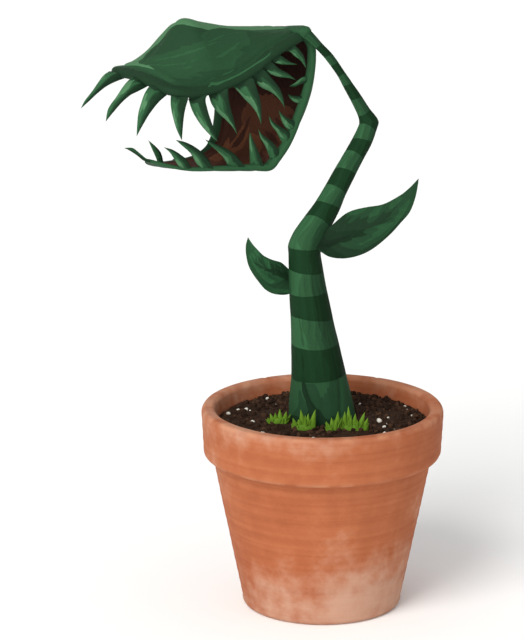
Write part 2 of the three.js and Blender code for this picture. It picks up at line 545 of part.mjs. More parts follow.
// ---------------------------------------------------------------- leaves
// Lower and upper edge of the blade in the front view, from root to tip.
const LEAF_RIGHT = {
  lower: [[360, 352], [366, 357], [372, 362], [386, 370], [405, 372.6], [423, 370], [442, 363], [460, 352], [480, 335],
    [496, 317], [510, 300], [519, 277], [523, 256], [523.7, 248.4]],
  upper: [[362, 342], [370, 340], [376, 337], [382.5, 328], [394, 317], [410, 304], [425, 297.5], [444, 293], [470, 288],
    [496, 274.5], [510, 263], [519, 253.5], [523.7, 248.4]],
  depth: [-9.4, -11, -13.5, -15, -14], lean: 0.62, cup: 0.2,
};
const LEAF_LEFT = {
  lower: [[330, 423], [323, 427.5], [313, 429], [299, 427], [287, 420.5], [277, 410], [267.5, 397], [260.5, 383],
    [256.5, 366.5], [256, 353], [259.3, 339.5]],
  upper: [[329, 393], [322, 389], [317, 384], [310, 379], [295, 374], [282, 367], [271, 356], [264, 347], [259.3, 339.5]],
  depth: [-4.2, -7.2, -10, -11, -9.5], lean: 0.62, cup: 0.2,
};
function leafSolid(leaf, steps) {
  const rings = [];
  const knots = leaf.depth.map((_, i) => i / (leaf.depth.length - 1));
  const across = [-1, -0.55, 0, 0.55, 1];
  for (let i = 0; i <= steps; i++) {
    const t = 1 - Math.pow(1 - i / steps, 1.15);
    const a = along(leaf.lower, t), b = along(leaf.upper, t);
    const y = spline(knots, leaf.depth, t);
    if (i === steps) { rings.push([at(a[0], a[1], y)]); break; }
    const half = at(a[0], a[1], y).distanceTo(at(b[0], b[1], y)) / 2;
    const lo = at(a[0], a[1], y - half * leaf.lean), hi = at(b[0], b[1], y + half * leaf.lean);
    const c = lo.clone().add(hi).multiplyScalar(0.5);
    const w = hi.clone().sub(lo).multiplyScalar(0.5);
    const t1 = Math.min(1, t + 0.03), t0 = Math.max(0, t - 0.03);
    const mid = (s) => { const p = along(leaf.lower, s), q = along(leaf.upper, s); return at((p[0] + q[0]) / 2, (p[1] + q[1]) / 2, spline(knots, leaf.depth, s)); };
    const axis = mid(t1).sub(mid(t0)).normalize();
    let n = axis.clone().cross(w).normalize();
    if (n.dot(BACK) < 0) n.negate();
    const taper = Math.pow(1 - t, 0.35);
    const row = (sign) => across.map((x) => {
      const sheet = c.clone().addScaledVector(w, x).addScaledVector(n, -leaf.cup * half * (1 - x * x));
      const thick = (0.32 + 0.3 * (1 - Math.abs(x)) * (sign < 0 ? 1.6 : 0.6)) * taper;
      return sheet.addScaledVector(n, sign * thick);
    });
    rings.push([...row(1), ...row(-1).reverse()]);
  }
  return loft(rings);
}

// ---------------------------------------------------------------- grass
// Foot of each blade [u], tip [u, v]; the tuft stands on the soil at outline row `row`.
const TUFTS = [
  { u0: 289, u1: 321, row: 628, blades: [[295, 289.5, 619.5], [299, 293.5, 612.5], [303, 301.5, 611.5], [309, 308.5, 606], [316, 319, 609.5]] },
  { u0: 329, u1: 364, row: 637.5, blades: [[334, 328.5, 619.5], [338, 337.5, 621.5], [344, 341, 606.5], [351, 352.8, 612.5], [358, 364, 606.5]] },
  { u0: 380, u1: 402, row: 639.5, blades: [[385, 380, 625], [391, 388.5, 619], [397, 399, 609.5]] },
  { u0: 402, u1: 446, row: 638, blades: [[409, 409.5, 609.5], [416, 414.8, 601.5], [424, 426, 612.5], [433, 440.5, 610.5], [440, 445.5, 619.5]] },
];
const BACK_TUFT = { x: -3, y: 13, half: 4, blades: [[-2.8, -1.2, 3.6], [-1.2, -0.6, 5], [0.4, 0.6, 4.4], [1.8, 1.4, 5.2], [3, 1.6, 3.2]] };
const CROWN_DROP = 1.4;
function blade(foot, tip, half, steps = 4, sides = 6) {
  const rings = [];
  const d = tip.clone().sub(foot);
  const side = V3(d.x, d.y, 0);
  const bow = side.clone().multiplyScalar(-0.28);
  for (let i = 0; i <= steps; i++) {
    const t = i / steps;
    const c = foot.clone().addScaledVector(d, t).addScaledVector(bow, 4 * t * (1 - t) * 0.6);
    if (i === steps) { rings.push([tip]); break; }
    rings.push(ellipse(c, RIGHT, half * (1 - Math.pow(t, 1.6)), V3(0, 1, 0), half * 0.45 * (1 - 0.8 * t), sides));
  }
  return loft(rings);
}
function crown(x, y, half, depth, grow) {
  const g = new THREE.SphereGeometry(1, 10, 6);
  g.scale(half + grow, depth + grow, CROWN_DROP + grow);
  g.translate(x, y, SOIL_Z - CROWN_DROP * 0.35);
  return g;
}
function tuftParts(tuft) {
  if (tuft.row === undefined) {
    const pieces = tuft.blades.map(([dx, lean, h]) => [V3(tuft.x + dx, tuft.y, SOIL_Z + 0.06), V3(tuft.x + dx + lean, tuft.y + 0.8, SOIL_Z + h)]);
    return { x: tuft.x, y: tuft.y, half: tuft.half, pieces };
  }
  const ground = (u) => onPlane(u, tuft.row, V3(0, 0, SOIL_Z), V3(0, 0, 1));
  const a = ground(tuft.u0), b = ground(tuft.u1);
  const pieces = tuft.blades.map(([u, tu, tv], i) => {
    const foot = ground(u).add(V3(0, 0, 0.06));
    return [foot, at(tu, tv, foot.y + (i % 2 ? 0.5 : -0.4))];
  });
  return { x: (a.x + b.x) / 2, y: a.y, half: (b.x - a.x) / 2 - 0.3, pieces };
}
function tuftSolid(tuft) {
  const p = tuftParts(tuft);
  return join([crown(p.x, p.y, p.half, 0.95, 0), ...p.pieces.map(([f, t]) => blade(f, t, 0.82))]);
}

// ---------------------------------------------------------------- pot and soil
function lathe(profile, segments) {
  const g = new THREE.LatheGeometry(profile.map(([r, z]) => new THREE.Vector2(r, z)), segments);
  g.rotateX(Math.PI / 2);
  return g;
}
function rod(radius, z0, z1, x, y, sides) {
  const g = new THREE.CylinderGeometry(radius, radius, z1 - z0, sides);
  g.rotateX(Math.PI / 2);
  g.translate(x, y, (z0 + z1) / 2);
  return g;
}
const bandZ = POT_HEIGHT - RIM_BAND;
const wallR = (z) => POT_BASE_R + (POT_TOP_R - 2.4 - POT_BASE_R) * z / bandZ * 0.93;
function potSolid() {
  const inner = (z) => wallR(z) - POT_WALL;
  const profile = [
    [0, 0], [POT_BASE_R - 0.8, 0], [POT_BASE_R, 0.8], [wallR(bandZ - 0.6), bandZ - 0.6],
    [POT_TOP_R - 1.2, bandZ], [POT_TOP_R - 0.6, bandZ + 0.7], [POT_TOP_R, POT_HEIGHT - 1],
    [POT_TOP_R - 0.7, POT_HEIGHT], [POT_TOP_R - 3, POT_HEIGHT], [POT_TOP_R - 3.7, POT_HEIGHT - 0.8],
    [inner(bandZ) + 0.6, bandZ - 2], [inner(POT_FLOOR) + 0.4, POT_FLOOR + 1.2], [inner(POT_FLOOR) - 1, POT_FLOOR], [0, POT_FLOOR],
  ];
  const holes = [];
  for (let i = 0; i < DRAIN_HOLES; i++) {
    const a = 2 * Math.PI * (i + 0.25) / DRAIN_HOLES;
    holes.push(rod(DRAIN_HOLE_R, -2, POT_FLOOR + 2, DRAIN_HOLE_AT * Math.cos(a), DRAIN_HOLE_AT * Math.sin(a), 12));
  }
  return cut(lathe(profile, 48), ...holes);
}
function soilSolid(stemGrown) {
  const inner = (z) => wallR(z) - POT_WALL;
  const topIn = (z) => {
    const r0 = inner(bandZ) + 0.6, z0 = bandZ - 2, r1 = POT_TOP_R - 3.7, z1 = POT_HEIGHT - 0.8;
    return r0 + (r1 - r0) * (z - z0) / (z1 - z0);
  };
  const profile = [
    [0, POT_FLOOR + CLEAR], [inner(POT_FLOOR) - 1 - CLEAR, POT_FLOOR + CLEAR], [inner(POT_FLOOR) + 0.4 - CLEAR, POT_FLOOR + 1.2 + CLEAR],
    [inner(bandZ) + 0.6 - CLEAR, bandZ - 2], [topIn(SOIL_EDGE_Z) - CLEAR, SOIL_EDGE_Z], [22, SOIL_EDGE_Z + 0.5], [15, SOIL_Z], [0, SOIL_Z],
  ];
  const tools = [stemGrown];
  for (const tuft of [...TUFTS, BACK_TUFT]) {
    const p = tuftParts(tuft);
    tools.push(crown(p.x, p.y, p.half, 0.95, CLEAR));
  }
  return cut(lathe(profile, 36), ...tools);
}

// ---------------------------------------------------------------- assembly
const colour = (hex, roughness) => new THREE.MeshStandardMaterial({ color: hex, roughness, metalness: 0 });
const LOOK = {
  pot: colour(0xb5623c, 0.85), soil: colour(0x2e2119, 0.95), stem: colour(0x31593a, 0.55),
  leaf: colour(0x274a30, 0.5), lobe: colour(0x31593a, 0.45), lower: colour(0x5a3023, 0.5),
  tooth: colour(0x3b6b46, 0.45), grass: colour(0x567a1e, 0.6),
};
const plant = new THREE.Group();
function add(name, geometry, material) {
  geometry.computeVertexNormals();
  const mesh = new THREE.Mesh(geometry, material);
  mesh.name = name;
  plant.add(mesh);
}

const stem = stemSolid(0, 18);
const stemGrown = stemSolid(CLEAR, 18);
const midribGrown = midribSolid(CLEAR, 12, 12);
const upperGrown = lobeSolid(upperSheet, CLEAR, 44, 5, 4);
const lowerGrown = lobeSolid(lowerSheet, CLEAR, 44, 7, 4);

add('pot', potSolid(), LOOK.pot);
add('soil', soilSolid(stemGrown), LOOK.soil);
add('stem', cut(stem, midribGrown, upperGrown, lowerGrown), LOOK.stem);
add('leaf_right', cut(leafSolid(LEAF_RIGHT, 14), stemGrown), LOOK.leaf);
add('leaf_left', cut(leafSolid(LEAF_LEFT, 12), stemGrown), LOOK.leaf);
add('trap_midrib', midribSolid(0, 12, 12), LOOK.stem);
add('trap_upper_lobe', cut(lobeSolid(upperSheet, 0, 44, 5, 4), midribGrown), LOOK.lobe);
add('trap_lower_lobe', cut(lobeSolid(lowerSheet, 0, 44, 7, 4), midribGrown, upperGrown), LOOK.lower);
const two = (i) => String(i).padStart(2, '0');
UPPER_TEETH.forEach((t, i) => add('upper_tooth_' + two(i + 1),
  cut(toothFromView(upperSheet, t, 6, 8, 0.7), upperGrown, midribGrown), LOOK.tooth));
UPPER_FAR_TEETH.forEach((t, i) => add('upper_tooth_' + two(UPPER_TEETH.length + i + 1),
  cut(toothFromRim(upperSheet, t, 4, 8), upperGrown, midribGrown), LOOK.tooth));
LOWER_TEETH.forEach((t, i) => add('lower_tooth_' + two(i + 1),
  cut(toothFromView(lowerSheet, t, 6, 8, 0.35), lowerGrown, midribGrown), LOOK.tooth));
LOWER_FAR_TEETH.forEach((t, i) => add('lower_tooth_' + two(LOWER_TEETH.length + i + 1),
  cut(toothFromRim(lowerSheet, t, 4, 8), lowerGrown, midribGrown), LOOK.tooth));
[...TUFTS, BACK_TUFT].forEach((t, i) => add('grass_tuft_' + (i + 1), tuftSolid(t), LOOK.grass));

export default plant;
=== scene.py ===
# Potted venus flytrap: one open trap on a bent, banded stalk with two leaves and grass
# tufts at its foot, in potting mix in a plain terracotta pot.
# Shapes are worked out in millimetres and put into the scene in metres.
import math

import bpy
import numpy as np
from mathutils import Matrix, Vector


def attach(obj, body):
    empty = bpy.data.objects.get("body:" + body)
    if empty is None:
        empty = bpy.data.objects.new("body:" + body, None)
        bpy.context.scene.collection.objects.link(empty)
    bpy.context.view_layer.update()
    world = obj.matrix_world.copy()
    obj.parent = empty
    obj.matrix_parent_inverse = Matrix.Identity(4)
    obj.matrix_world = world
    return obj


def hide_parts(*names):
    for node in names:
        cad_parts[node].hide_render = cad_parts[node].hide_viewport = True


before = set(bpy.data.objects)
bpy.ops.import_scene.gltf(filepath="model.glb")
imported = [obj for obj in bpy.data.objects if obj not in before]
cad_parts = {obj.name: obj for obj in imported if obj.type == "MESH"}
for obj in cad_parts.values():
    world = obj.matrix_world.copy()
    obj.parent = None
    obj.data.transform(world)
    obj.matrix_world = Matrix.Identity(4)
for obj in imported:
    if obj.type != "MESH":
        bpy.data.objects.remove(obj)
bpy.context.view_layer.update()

MM = 0.001

# ---------------------------------------------------------------- dimensions
POT_TOP_R, POT_BASE_R, POT_HEIGHT = 32.0, 21.0, 54.0
POT_WALL, POT_FLOOR, RIM_BAND = 3.6, 4.5, 13.0
DRAIN_HOLES, DRAIN_HOLE_R, DRAIN_HOLE_AT = 3, 3.0, 11.5
SOIL_Z, SOIL_EDGE_Z, FOOT_DEPTH = 50.5, 49.6, 11.0

UNIT = 0.17
TILT = math.radians(15)
VIEW_DISTANCE = 900.0
FOOT_U, FOOT_V = 374.5, 620.0
AXIS_U, AXIS_V = 281.0, 468.0

TRAP_TURN = math.radians(36)
TRAP_WIDTH = 168 * UNIT
TRAP_Y = 6.0
LOBE_HALF_THICK, LOBE_RIM_R, LOWER_TIP_THIN = 0.8, 1.15, 0.5

# ---------------------------------------------------------------- view outline
RIGHT = np.array([1.0, 0.0, 0.0])
UPV = np.array([0.0, math.sin(TILT), math.cos(TILT)])
BACK = np.array([0.0, -math.cos(TILT), math.sin(TILT)])
AIM = np.array([0.0, 0.0, SOIL_Z]) + RIGHT * (AXIS_U - FOOT_U) * UNIT + UPV * (FOOT_V - AXIS_V) * UNIT
EYE = AIM + BACK * VIEW_DISTANCE


def dots(a, b):
    return (np.asarray(a) * np.asarray(b)).sum(-1)


def norm(a):
    return np.sqrt(dots(a, a))


def unit(a):
    a = np.asarray(a, float)
    return a / np.maximum(norm(a), 1e-12)[..., None]


def sight(u, v):
    u, v = np.asarray(u, float)[..., None], np.asarray(v, float)[..., None]
    return AIM + (u - AXIS_U) * UNIT * RIGHT - (v - AXIS_V) * UNIT * UPV - EYE


def at(u, v, y):
    d = sight(u, v)
    return EYE + d * ((y - EYE[1]) / d[..., 1])[..., None]


def on_plane(u, v, p, n):
    d = sight(u, v)
    return EYE + d * (dots(np.asarray(p) - EYE, n) / dots(d, n))[..., None]


def outline(p):
    w = np.asarray(p) - EYE
    z = -(w @ BACK)
    return AXIS_U + (w @ RIGHT) / z * VIEW_DISTANCE / UNIT, AXIS_V - (w @ UPV) / z * VIEW_DISTANCE / UNIT


# ---------------------------------------------------------------- splines and noise
def spline(knots, values, t):
    """Cubic Hermite through knots, for numbers or rows of numbers."""
    k, v = np.asarray(knots, float), np.asarray(values, float)
    flat = v.ndim == 1
    if flat:
        v = v[:, None]
    t = np.clip(np.asarray(t, float), k[0], k[-1])
    shape = t.shape
    t = t.ravel()
    i = np.clip(np.searchsorted(k, t, side="right") - 1, 0, len(k) - 2)
    m = np.empty_like(v)
    m[0] = (v[1] - v[0]) / (k[1] - k[0])
    m[-1] = (v[-1] - v[-2]) / (k[-1] - k[-2])
    if len(k) > 2:
        m[1:-1] = (v[2:] - v[:-2]) / (k[2:] - k[:-2])[:, None]
    h = (k[i + 1] - k[i])[:, None]
    s = ((t - k[i]) / h[:, 0])[:, None]
    s2, s3 = s * s, s * s * s
    out = (2 * s3 - 3 * s2 + 1) * v[i] + (s3 - 2 * s2 + s) * m[i] * h + (3 * s2 - 2 * s3) * v[i + 1] + (s3 - s2) * m[i + 1] * h
    return out[:, 0].reshape(shape) if flat else out.reshape(shape + (v.shape[1],))


def lengths(points):
    p = np.asarray(points, float)
    return np.concatenate([[0.0], np.cumsum(norm(p[1:] - p[:-1]))])


def along(points, t):
    d = lengths(points)
    return spline(d, points, np.asarray(t, float) * d[-1])


def smooth(x, a=0.0, b=1.0):
    x = np.clip((np.asarray(x, float) - a) / (b - a), 0.0, 1.0)
    return x * x * (3 - 2 * x)


def hashed(ix, iy, iz, seed):
    h = (ix * 374761393 + iy * 668265263 + iz * 1440662683 + seed * 1274126177) & 0xFFFFFFFF
    h = ((h ^ (h >> 13)) * 1274126177) & 0xFFFFFFFF
    h = h ^ (h >> 16)
    return (h & 0xFFFFFF) / float(0xFFFFFF)


def noise(x, y, z=0.0, seed=0):
    """Smooth value noise, -1 to 1."""
    x, y, z = np.broadcast_arrays(np.asarray(x, float), np.asarray(y, float), np.asarray(z, float))
    ix, iy, iz = (np.floor(a).astype(np.int64) for a in (x, y, z))
    fx, fy, fz = x - ix, y - iy, z - iz
    fx, fy, fz = (f * f * f * (f * (f * 6 - 15) + 10) for f in (fx, fy, fz))
    total = 0.0
    for dx in (0, 1):
        for dy in (0, 1):
            for dz in (0, 1):
                weight = (fx if dx else 1 - fx) * (fy if dy else 1 - fy) * (fz if dz else 1 - fz)
                total = total + weight * hashed(ix + dx, iy + dy, iz + dz, seed)
    return total * 2 - 1


def jag(x, seed=0):
    """A zigzag line of random teeth, -1 to 1."""
    x = np.asarray(x, float)
    i = np.floor(x).astype(np.int64)
    a, b = hashed(i, 0, 0, seed), hashed(i + 1, 0, 0, seed)
    return (a + (b - a) * (x - i)) * 2 - 1


def fractal(x, y, z=0.0, seed=0, octaves=4, gain=0.5):
    total, size, most = 0.0, 1.0, 0.0
    for k in range(octaves):
        f = 2.0 ** k
        total = total + size * noise(np.asarray(x) * f, np.asarray(y) * f, np.asarray(z) * f, seed + 17 * k)
        most += size
        size *= gain
    return total / most


def within(u, v, polygon):
    """Signed distance to a closed outline, positive inside."""
    u, v = np.asarray(u, float), np.asarray(v, float)
    p = np.asarray(polygon, float)
    best = np.full(u.shape, 1e9)
    odd = np.zeros(u.shape, bool)
    for a, b in zip(p, np.roll(p, -1, 0)):
        e = b - a
        s = np.clip(((u - a[0]) * e[0] + (v - a[1]) * e[1]) / max(e @ e, 1e-9), 0, 1)
        best = np.minimum(best, np.hypot(u - a[0] - s * e[0], v - a[1] - s * e[1]))
        if e[1] != 0:
            cross = (a[1] > v) != (b[1] > v)
            odd ^= cross & (u < a[0] + (v - a[1]) * e[0] / e[1])
    return np.where(odd, best, -best)


def stroke(u, v, path):
    """Signed distance to a brush stroke, positive inside; path rows are [u, v, half width]."""
    u, v = np.asarray(u, float), np.asarray(v, float)
    best = np.full(u.shape, -1e9)
    for a, b in zip(path[:-1], path[1:]):
        ex, ey = b[0] - a[0], b[1] - a[1]
        s = np.clip(((u - a[0]) * ex + (v - a[1]) * ey) / max(ex * ex + ey * ey, 1e-9), 0, 1)
        d = a[2] + s * (b[2] - a[2]) - np.hypot(u - a[0] - s * ex, v - a[1] - s * ey)
        best = np.maximum(best, d)
    return best


# ---------------------------------------------------------------- meshes
def signed_volume(p, faces):
    total = 0.0
    for f in faces:
        for k in range(1, f.shape[1] - 1):
            a, b, c = p[f[:, 0]], p[f[:, k]], p[f[:, k + 1]]
            total += dots(a, np.cross(b, c)).sum() / 6
    return total


def put(name, points, faces, material, nodes=(), fields=None):
    """Makes one piece from points in millimetres, lets it ride on the plant and stand for its CAD nodes."""
    points = np.asarray(points, float)
    faces = [np.asarray(f, int) for f in faces if len(f)]
    if signed_volume(points, faces) < 0:
        faces = [f[:, ::-1] for f in faces]
    me = bpy.data.meshes.new(name)
    rows = []
    for f in faces:
        rows += f.tolist()
    me.from_pydata((points * MM).tolist(), [], rows)
    me.polygons.foreach_set("use_smooth", [True] * len(me.polygons))
    for key, value in (fields or {}).items():
        value = np.asarray(value, np.float32)
        kind = "FLOAT" if value.ndim == 1 else "FLOAT_VECTOR"
        a = me.attributes.new(key, kind, "POINT")
        a.data.foreach_set("value" if value.ndim == 1 else "vector", value.ravel())
    me.materials.append(material)
    me.update()
    o = bpy.data.objects.new(name, me)
    bpy.context.scene.collection.objects.link(o)
    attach(o, "root")
    if nodes:
        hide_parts(*nodes)
    return o


def loft(rings):
    """Closed rings skinned in order, with a middle point on each end. rings is (rows, sides, 3)."""
    m, n, _ = rings.shape
    i, j = np.arange(m - 1)[:, None], np.arange(n)[None, :]
    k = (j + 1) % n
    quads = np.stack([i * n + j + 0 * k, i * n + k, (i + 1) * n + k, (i + 1) * n + j + 0 * k], -1).reshape(-1, 4)
    j, k = np.arange(n), (np.arange(n) + 1) % n
    first = np.stack([np.full(n, m * n), k, j], -1)
    last = np.stack([np.full(n, m * n + 1), (m - 1) * n + j, (m - 1) * n + k], -1)
    points = np.concatenate([rings.reshape(-1, 3), rings[0].mean(0)[None], rings[-1].mean(0)[None]])
    return points, [quads, first, last]


def spread(field):
    """A (rows, sides) field in the order of loft's points."""
    field = np.asarray(field, float)
    return np.concatenate([field.reshape((-1,) + field.shape[2:]), field[0].mean(0)[None], field[-1].mean(0)[None]])


def merge(parts):
    """Several (points, faces, fields) as one."""
    points, quads, tris, fields, start = [], [], [], {}, 0
    for p, faces, fs in parts:
        points.append(p)
        for f in faces:
            (quads if f.shape[1] == 4 else tris).append(f + start)
        for key, value in fs.items():
            fields.setdefault(key, []).append(value)
        start += len(p)
    faces = [np.concatenate(f) for f in (quads, tris) if f]
    return np.concatenate(points), faces, {key: np.concatenate(v) for key, v in fields.items()}


# ---------------------------------------------------------------- materials
def rgb(code, gain=1.0):
    parts = [int(code[i:i + 2], 16) / 255 for i in (1, 3, 5)]
    return tuple(min(1.0, gain * (c / 12.92 if c <= 0.04045 else ((c + 0.055) / 1.055) ** 2.4)) for c in parts) + (1.0,)


class Look:
    """A node material, with short calls to add and join nodes."""

    def __init__(self, name, roughness, specular):
        self.material = bpy.data.materials.new(name)
        self.material.use_nodes = True
        self.tree = self.material.node_tree
        self.tree.nodes.clear()
        out = self.tree.nodes.new("ShaderNodeOutputMaterial")
        self.bsdf = self.tree.nodes.new("ShaderNodeBsdfPrincipled")
        self.tree.links.new(self.bsdf.outputs[0], out.inputs["Surface"])
        self.bsdf.inputs["Roughness"].default_value = roughness
        self.bsdf.inputs["Specular IOR Level"].default_value = specular

    def set(self, socket, value):
        if isinstance(value, bpy.types.NodeSocket):
            self.tree.links.new(value, socket)
        elif value is not None:
            socket.default_value = value

    def field(self, name, vector=False):
        n = self.tree.nodes.new("ShaderNodeAttribute")
        n.attribute_name = name
        return n.outputs["Vector" if vector else "Fac"]

    def place(self, scale=(1, 1, 1), vector=None):
        n = self.tree.nodes.new("ShaderNodeMapping")
        n.inputs["Scale"].default_value = scale
        if vector is None:
            vector = self.tree.nodes.new("ShaderNodeTexCoord").outputs["Object"]
        self.tree.links.new(vector, n.inputs["Vector"])
        return n.outputs[0]

    def grain(self, vector, scale, detail=3.0, rough=0.5, twist=0.0):
        n = self.tree.nodes.new("ShaderNodeTexNoise")
        self.set(n.inputs["Vector"], vector)
        self.set(n.inputs["Scale"], scale)
        self.set(n.inputs["Detail"], detail)
        self.set(n.inputs["Roughness"], rough)
        self.set(n.inputs["Distortion"], twist)
        return n.outputs[0]

    def cells(self, vector, scale, feature="F1", spread=1.0):
        n = self.tree.nodes.new("ShaderNodeTexVoronoi")
        n.feature = feature
        self.set(n.inputs["Vector"], vector)
        self.set(n.inputs["Scale"], scale)
        self.set(n.inputs["Randomness"], spread)
        return n.outputs["Distance"]

    def maths(self, how, a, b=None, c=None, clamp=False):
        n = self.tree.nodes.new("ShaderNodeMath")
        n.operation = how
        n.use_clamp = clamp
        for k, x in enumerate((a, b, c)):
            if x is not None:
                self.set(n.inputs[k], x)
        return n.outputs[0]

    def step(self, value, a, b, lo=0.0, hi=1.0, soft=True):
        n = self.tree.nodes.new("ShaderNodeMapRange")
        n.interpolation_type = "SMOOTHSTEP" if soft else "LINEAR"
        n.clamp = True
        for k, x in zip(("Value", "From Min", "From Max", "To Min", "To Max"), (value, a, b, lo, hi)):
            self.set(n.inputs[k], x)
        return n.outputs[0]

    def mix(self, share, a, b, how="MIX"):
        n = self.tree.nodes.new("ShaderNodeMix")
        n.data_type = "RGBA"
        n.blend_type = how
        n.clamp_factor = True
        self.set(n.inputs[0], share)
        self.set(n.inputs[6], a)
        self.set(n.inputs[7], b)
        return n.outputs[2]

    def ramp(self, value, stops, gain=1.0, how="LINEAR"):
        n = self.tree.nodes.new("ShaderNodeValToRGB")
        n.color_ramp.interpolation = how
        e = n.color_ramp.elements
        while len(e) < len(stops):
            e.new(0.5)
        for k, (where, code) in enumerate(stops):
            e[k].position = where
            e[k].color = rgb(code, gain)
        self.set(n.inputs[0], value)
        return n.outputs[0]

    def bump(self, height, distance, strength=1.0, below=None):
        n = self.tree.nodes.new("ShaderNodeBump")
        self.set(n.inputs["Height"], height)
        self.set(n.inputs["Distance"], distance)
        self.set(n.inputs["Strength"], strength)
        if below is not None:
            self.set(n.inputs["Normal"], below)
        return n.outputs[0]

    def patches(self, shade, values, fray, sharp, adds=False):
        """Lays patch fields (positive inside a patch, edges frayed by fray) over a shade, in order."""
        for i, value in enumerate(values):
            inside = self.step(self.maths("ADD", self.field("patch_%d" % (i + 1)), fray), -sharp, sharp)
            change = value if adds else self.maths("SUBTRACT", value, shade)
            shade = self.maths("MULTIPLY_ADD", change, inside, shade)
        return shade

    def finish(self, colour, roughness=None, normal=None):
        self.set(self.bsdf.inputs["Base Color"], colour)
        if roughness is not None:
            self.set(self.bsdf.inputs["Roughness"], roughness)
        if normal is not None:
            self.set(self.bsdf.inputs["Normal"], normal)
        return self.material


def trap_skin(name, gain, values):
    """Green outside, brown-red inside. tone picks the shade, each patch field (positive inside its patch) brings it to
    its own value, inner (mm) is how far in from the green margin, deep (0 to 1) how far down the mouth, which sets how
    far the brown is brightened against the shade there (painted light)."""
    k = Look(name, 0.6, 0.05)
    tone, inner, deep, fibre = k.field("tone"), k.field("inner"), k.field("deep"), k.field("fibre", True)
    fine = k.grain(k.place((1, 1, 1), fibre), 1.0, 4.0, 0.6, 0.3)
    where = k.place()
    mottled = k.grain(where, 900, 3.0, 0.6)
    rough_edge = k.maths("MULTIPLY", k.maths("SUBTRACT", fine, 0.5), 1.6)
    shade = k.patches(tone, values, rough_edge, 0.16)
    shade = k.maths("MULTIPLY_ADD", k.maths("SUBTRACT", fine, 0.5), 0.06, shade)
    green = k.ramp(shade, [(0.0, "#16281a"), (0.15, "#25422c"), (0.36, "#2c4f34"), (0.5, "#31593a"), (0.66, "#3b6b46"), (0.85, "#588a60"), (1.0, "#6fa077")], gain)
    stops = [(0.0, "#1a100d"), (0.2, "#2a1914"), (0.42, "#37211a"), (0.56, "#43291d"), (0.75, "#563624"), (1.0, "#6b452f")]
    # the mouth's brown is brightened two to three times against the shade inside it: painted light
    brown = k.mix(deep, k.ramp(shade, stops, INSIDE_GAIN), k.ramp(shade, stops, DEEP_GAIN))
    glands = k.cells(where, 1500, "F1", 0.9)
    brown = k.mix(k.step(glands, 0.24, 0.12, 0.0, 0.35), brown, rgb("#6e2a20"))
    edge = k.maths("MULTIPLY_ADD", k.maths("SUBTRACT", fine, 0.5), 0.5, inner)
    mask = k.step(edge, -0.05, 0.12)
    rust = k.step(k.maths("ABSOLUTE", k.maths("SUBTRACT", edge, 0.12)), 0.22, 0.0, 0.0, 0.6)
    colour = k.mix(mask, green, brown)
    colour = k.mix(k.maths("MULTIPLY", rust, mask), colour, rgb("#4a1a16"))
    colour = k.mix(0.22, colour, k.mix(mottled, rgb("#4c4c4c"), rgb("#b8b8b8")), "SOFT_LIGHT")
    veins = k.grain(k.place((0.45, 1.6, 1.0), fibre), 1.0, 2.0, 0.5)
    n = k.bump(veins, 0.0003, 0.4)
    n = k.bump(k.grain(where, 2600, 2.0, 0.5), 0.00007, 0.4, n)
    n = k.bump(k.step(glands, 0.3, 0.1), 0.00010, k.maths("MULTIPLY", mask, 0.5), n)
    rough = k.maths("ADD", k.step(mottled, 0.3, 0.7, 0.54, 0.68), k.maths("MULTIPLY", mask, 0.25))
    return k.finish(colour, rough, n)


def bristle_skin():
    k = Look("bristle_skin", 0.58, 0.06)
    tone, fibre = k.field("tone"), k.field("fibre", True)
    fine = k.grain(k.place((1, 1, 1), fibre), 1.0, 4.0, 0.6, 0.2)
    # bristle patches in order: painted light on the lit side, painted highlight, painted highlight along the lit edge,
    # painted shade on the far side and by the root, painted shade at the upper roots under the lip
    shade = k.patches(tone, (0.56, 0.88, 0.70, 0.14, 0.15), k.maths("MULTIPLY", k.maths("SUBTRACT", fine, 0.5), 0.16), 0.018)
    shade = k.maths("MULTIPLY_ADD", k.maths("SUBTRACT", fine, 0.5), 0.07, shade)
    colour = k.ramp(shade, [(0.0, "#16281a"), (0.15, "#25422c"), (0.36, "#2c5436"), (0.55, "#3b6b46"), (0.7, "#457a50"), (0.86, "#588a60"), (1.0, "#74a57c")], BRISTLE_GAIN)
    where = k.place()
    colour = k.mix(0.22, colour, k.mix(k.grain(where, 1100, 3.0, 0.6), rgb("#4c4c4c"), rgb("#b8b8b8")), "SOFT_LIGHT")
    n = k.bump(k.grain(k.place((0.5, 1.4, 1.0), fibre), 1.0, 2.0, 0.5), 0.0003, 0.45)
    n = k.bump(k.grain(where, 3000, 2.0, 0.5), 0.00006, 0.4, n)
    return k.finish(colour, k.step(fine, 0.3, 0.7, 0.5, 0.62), n)


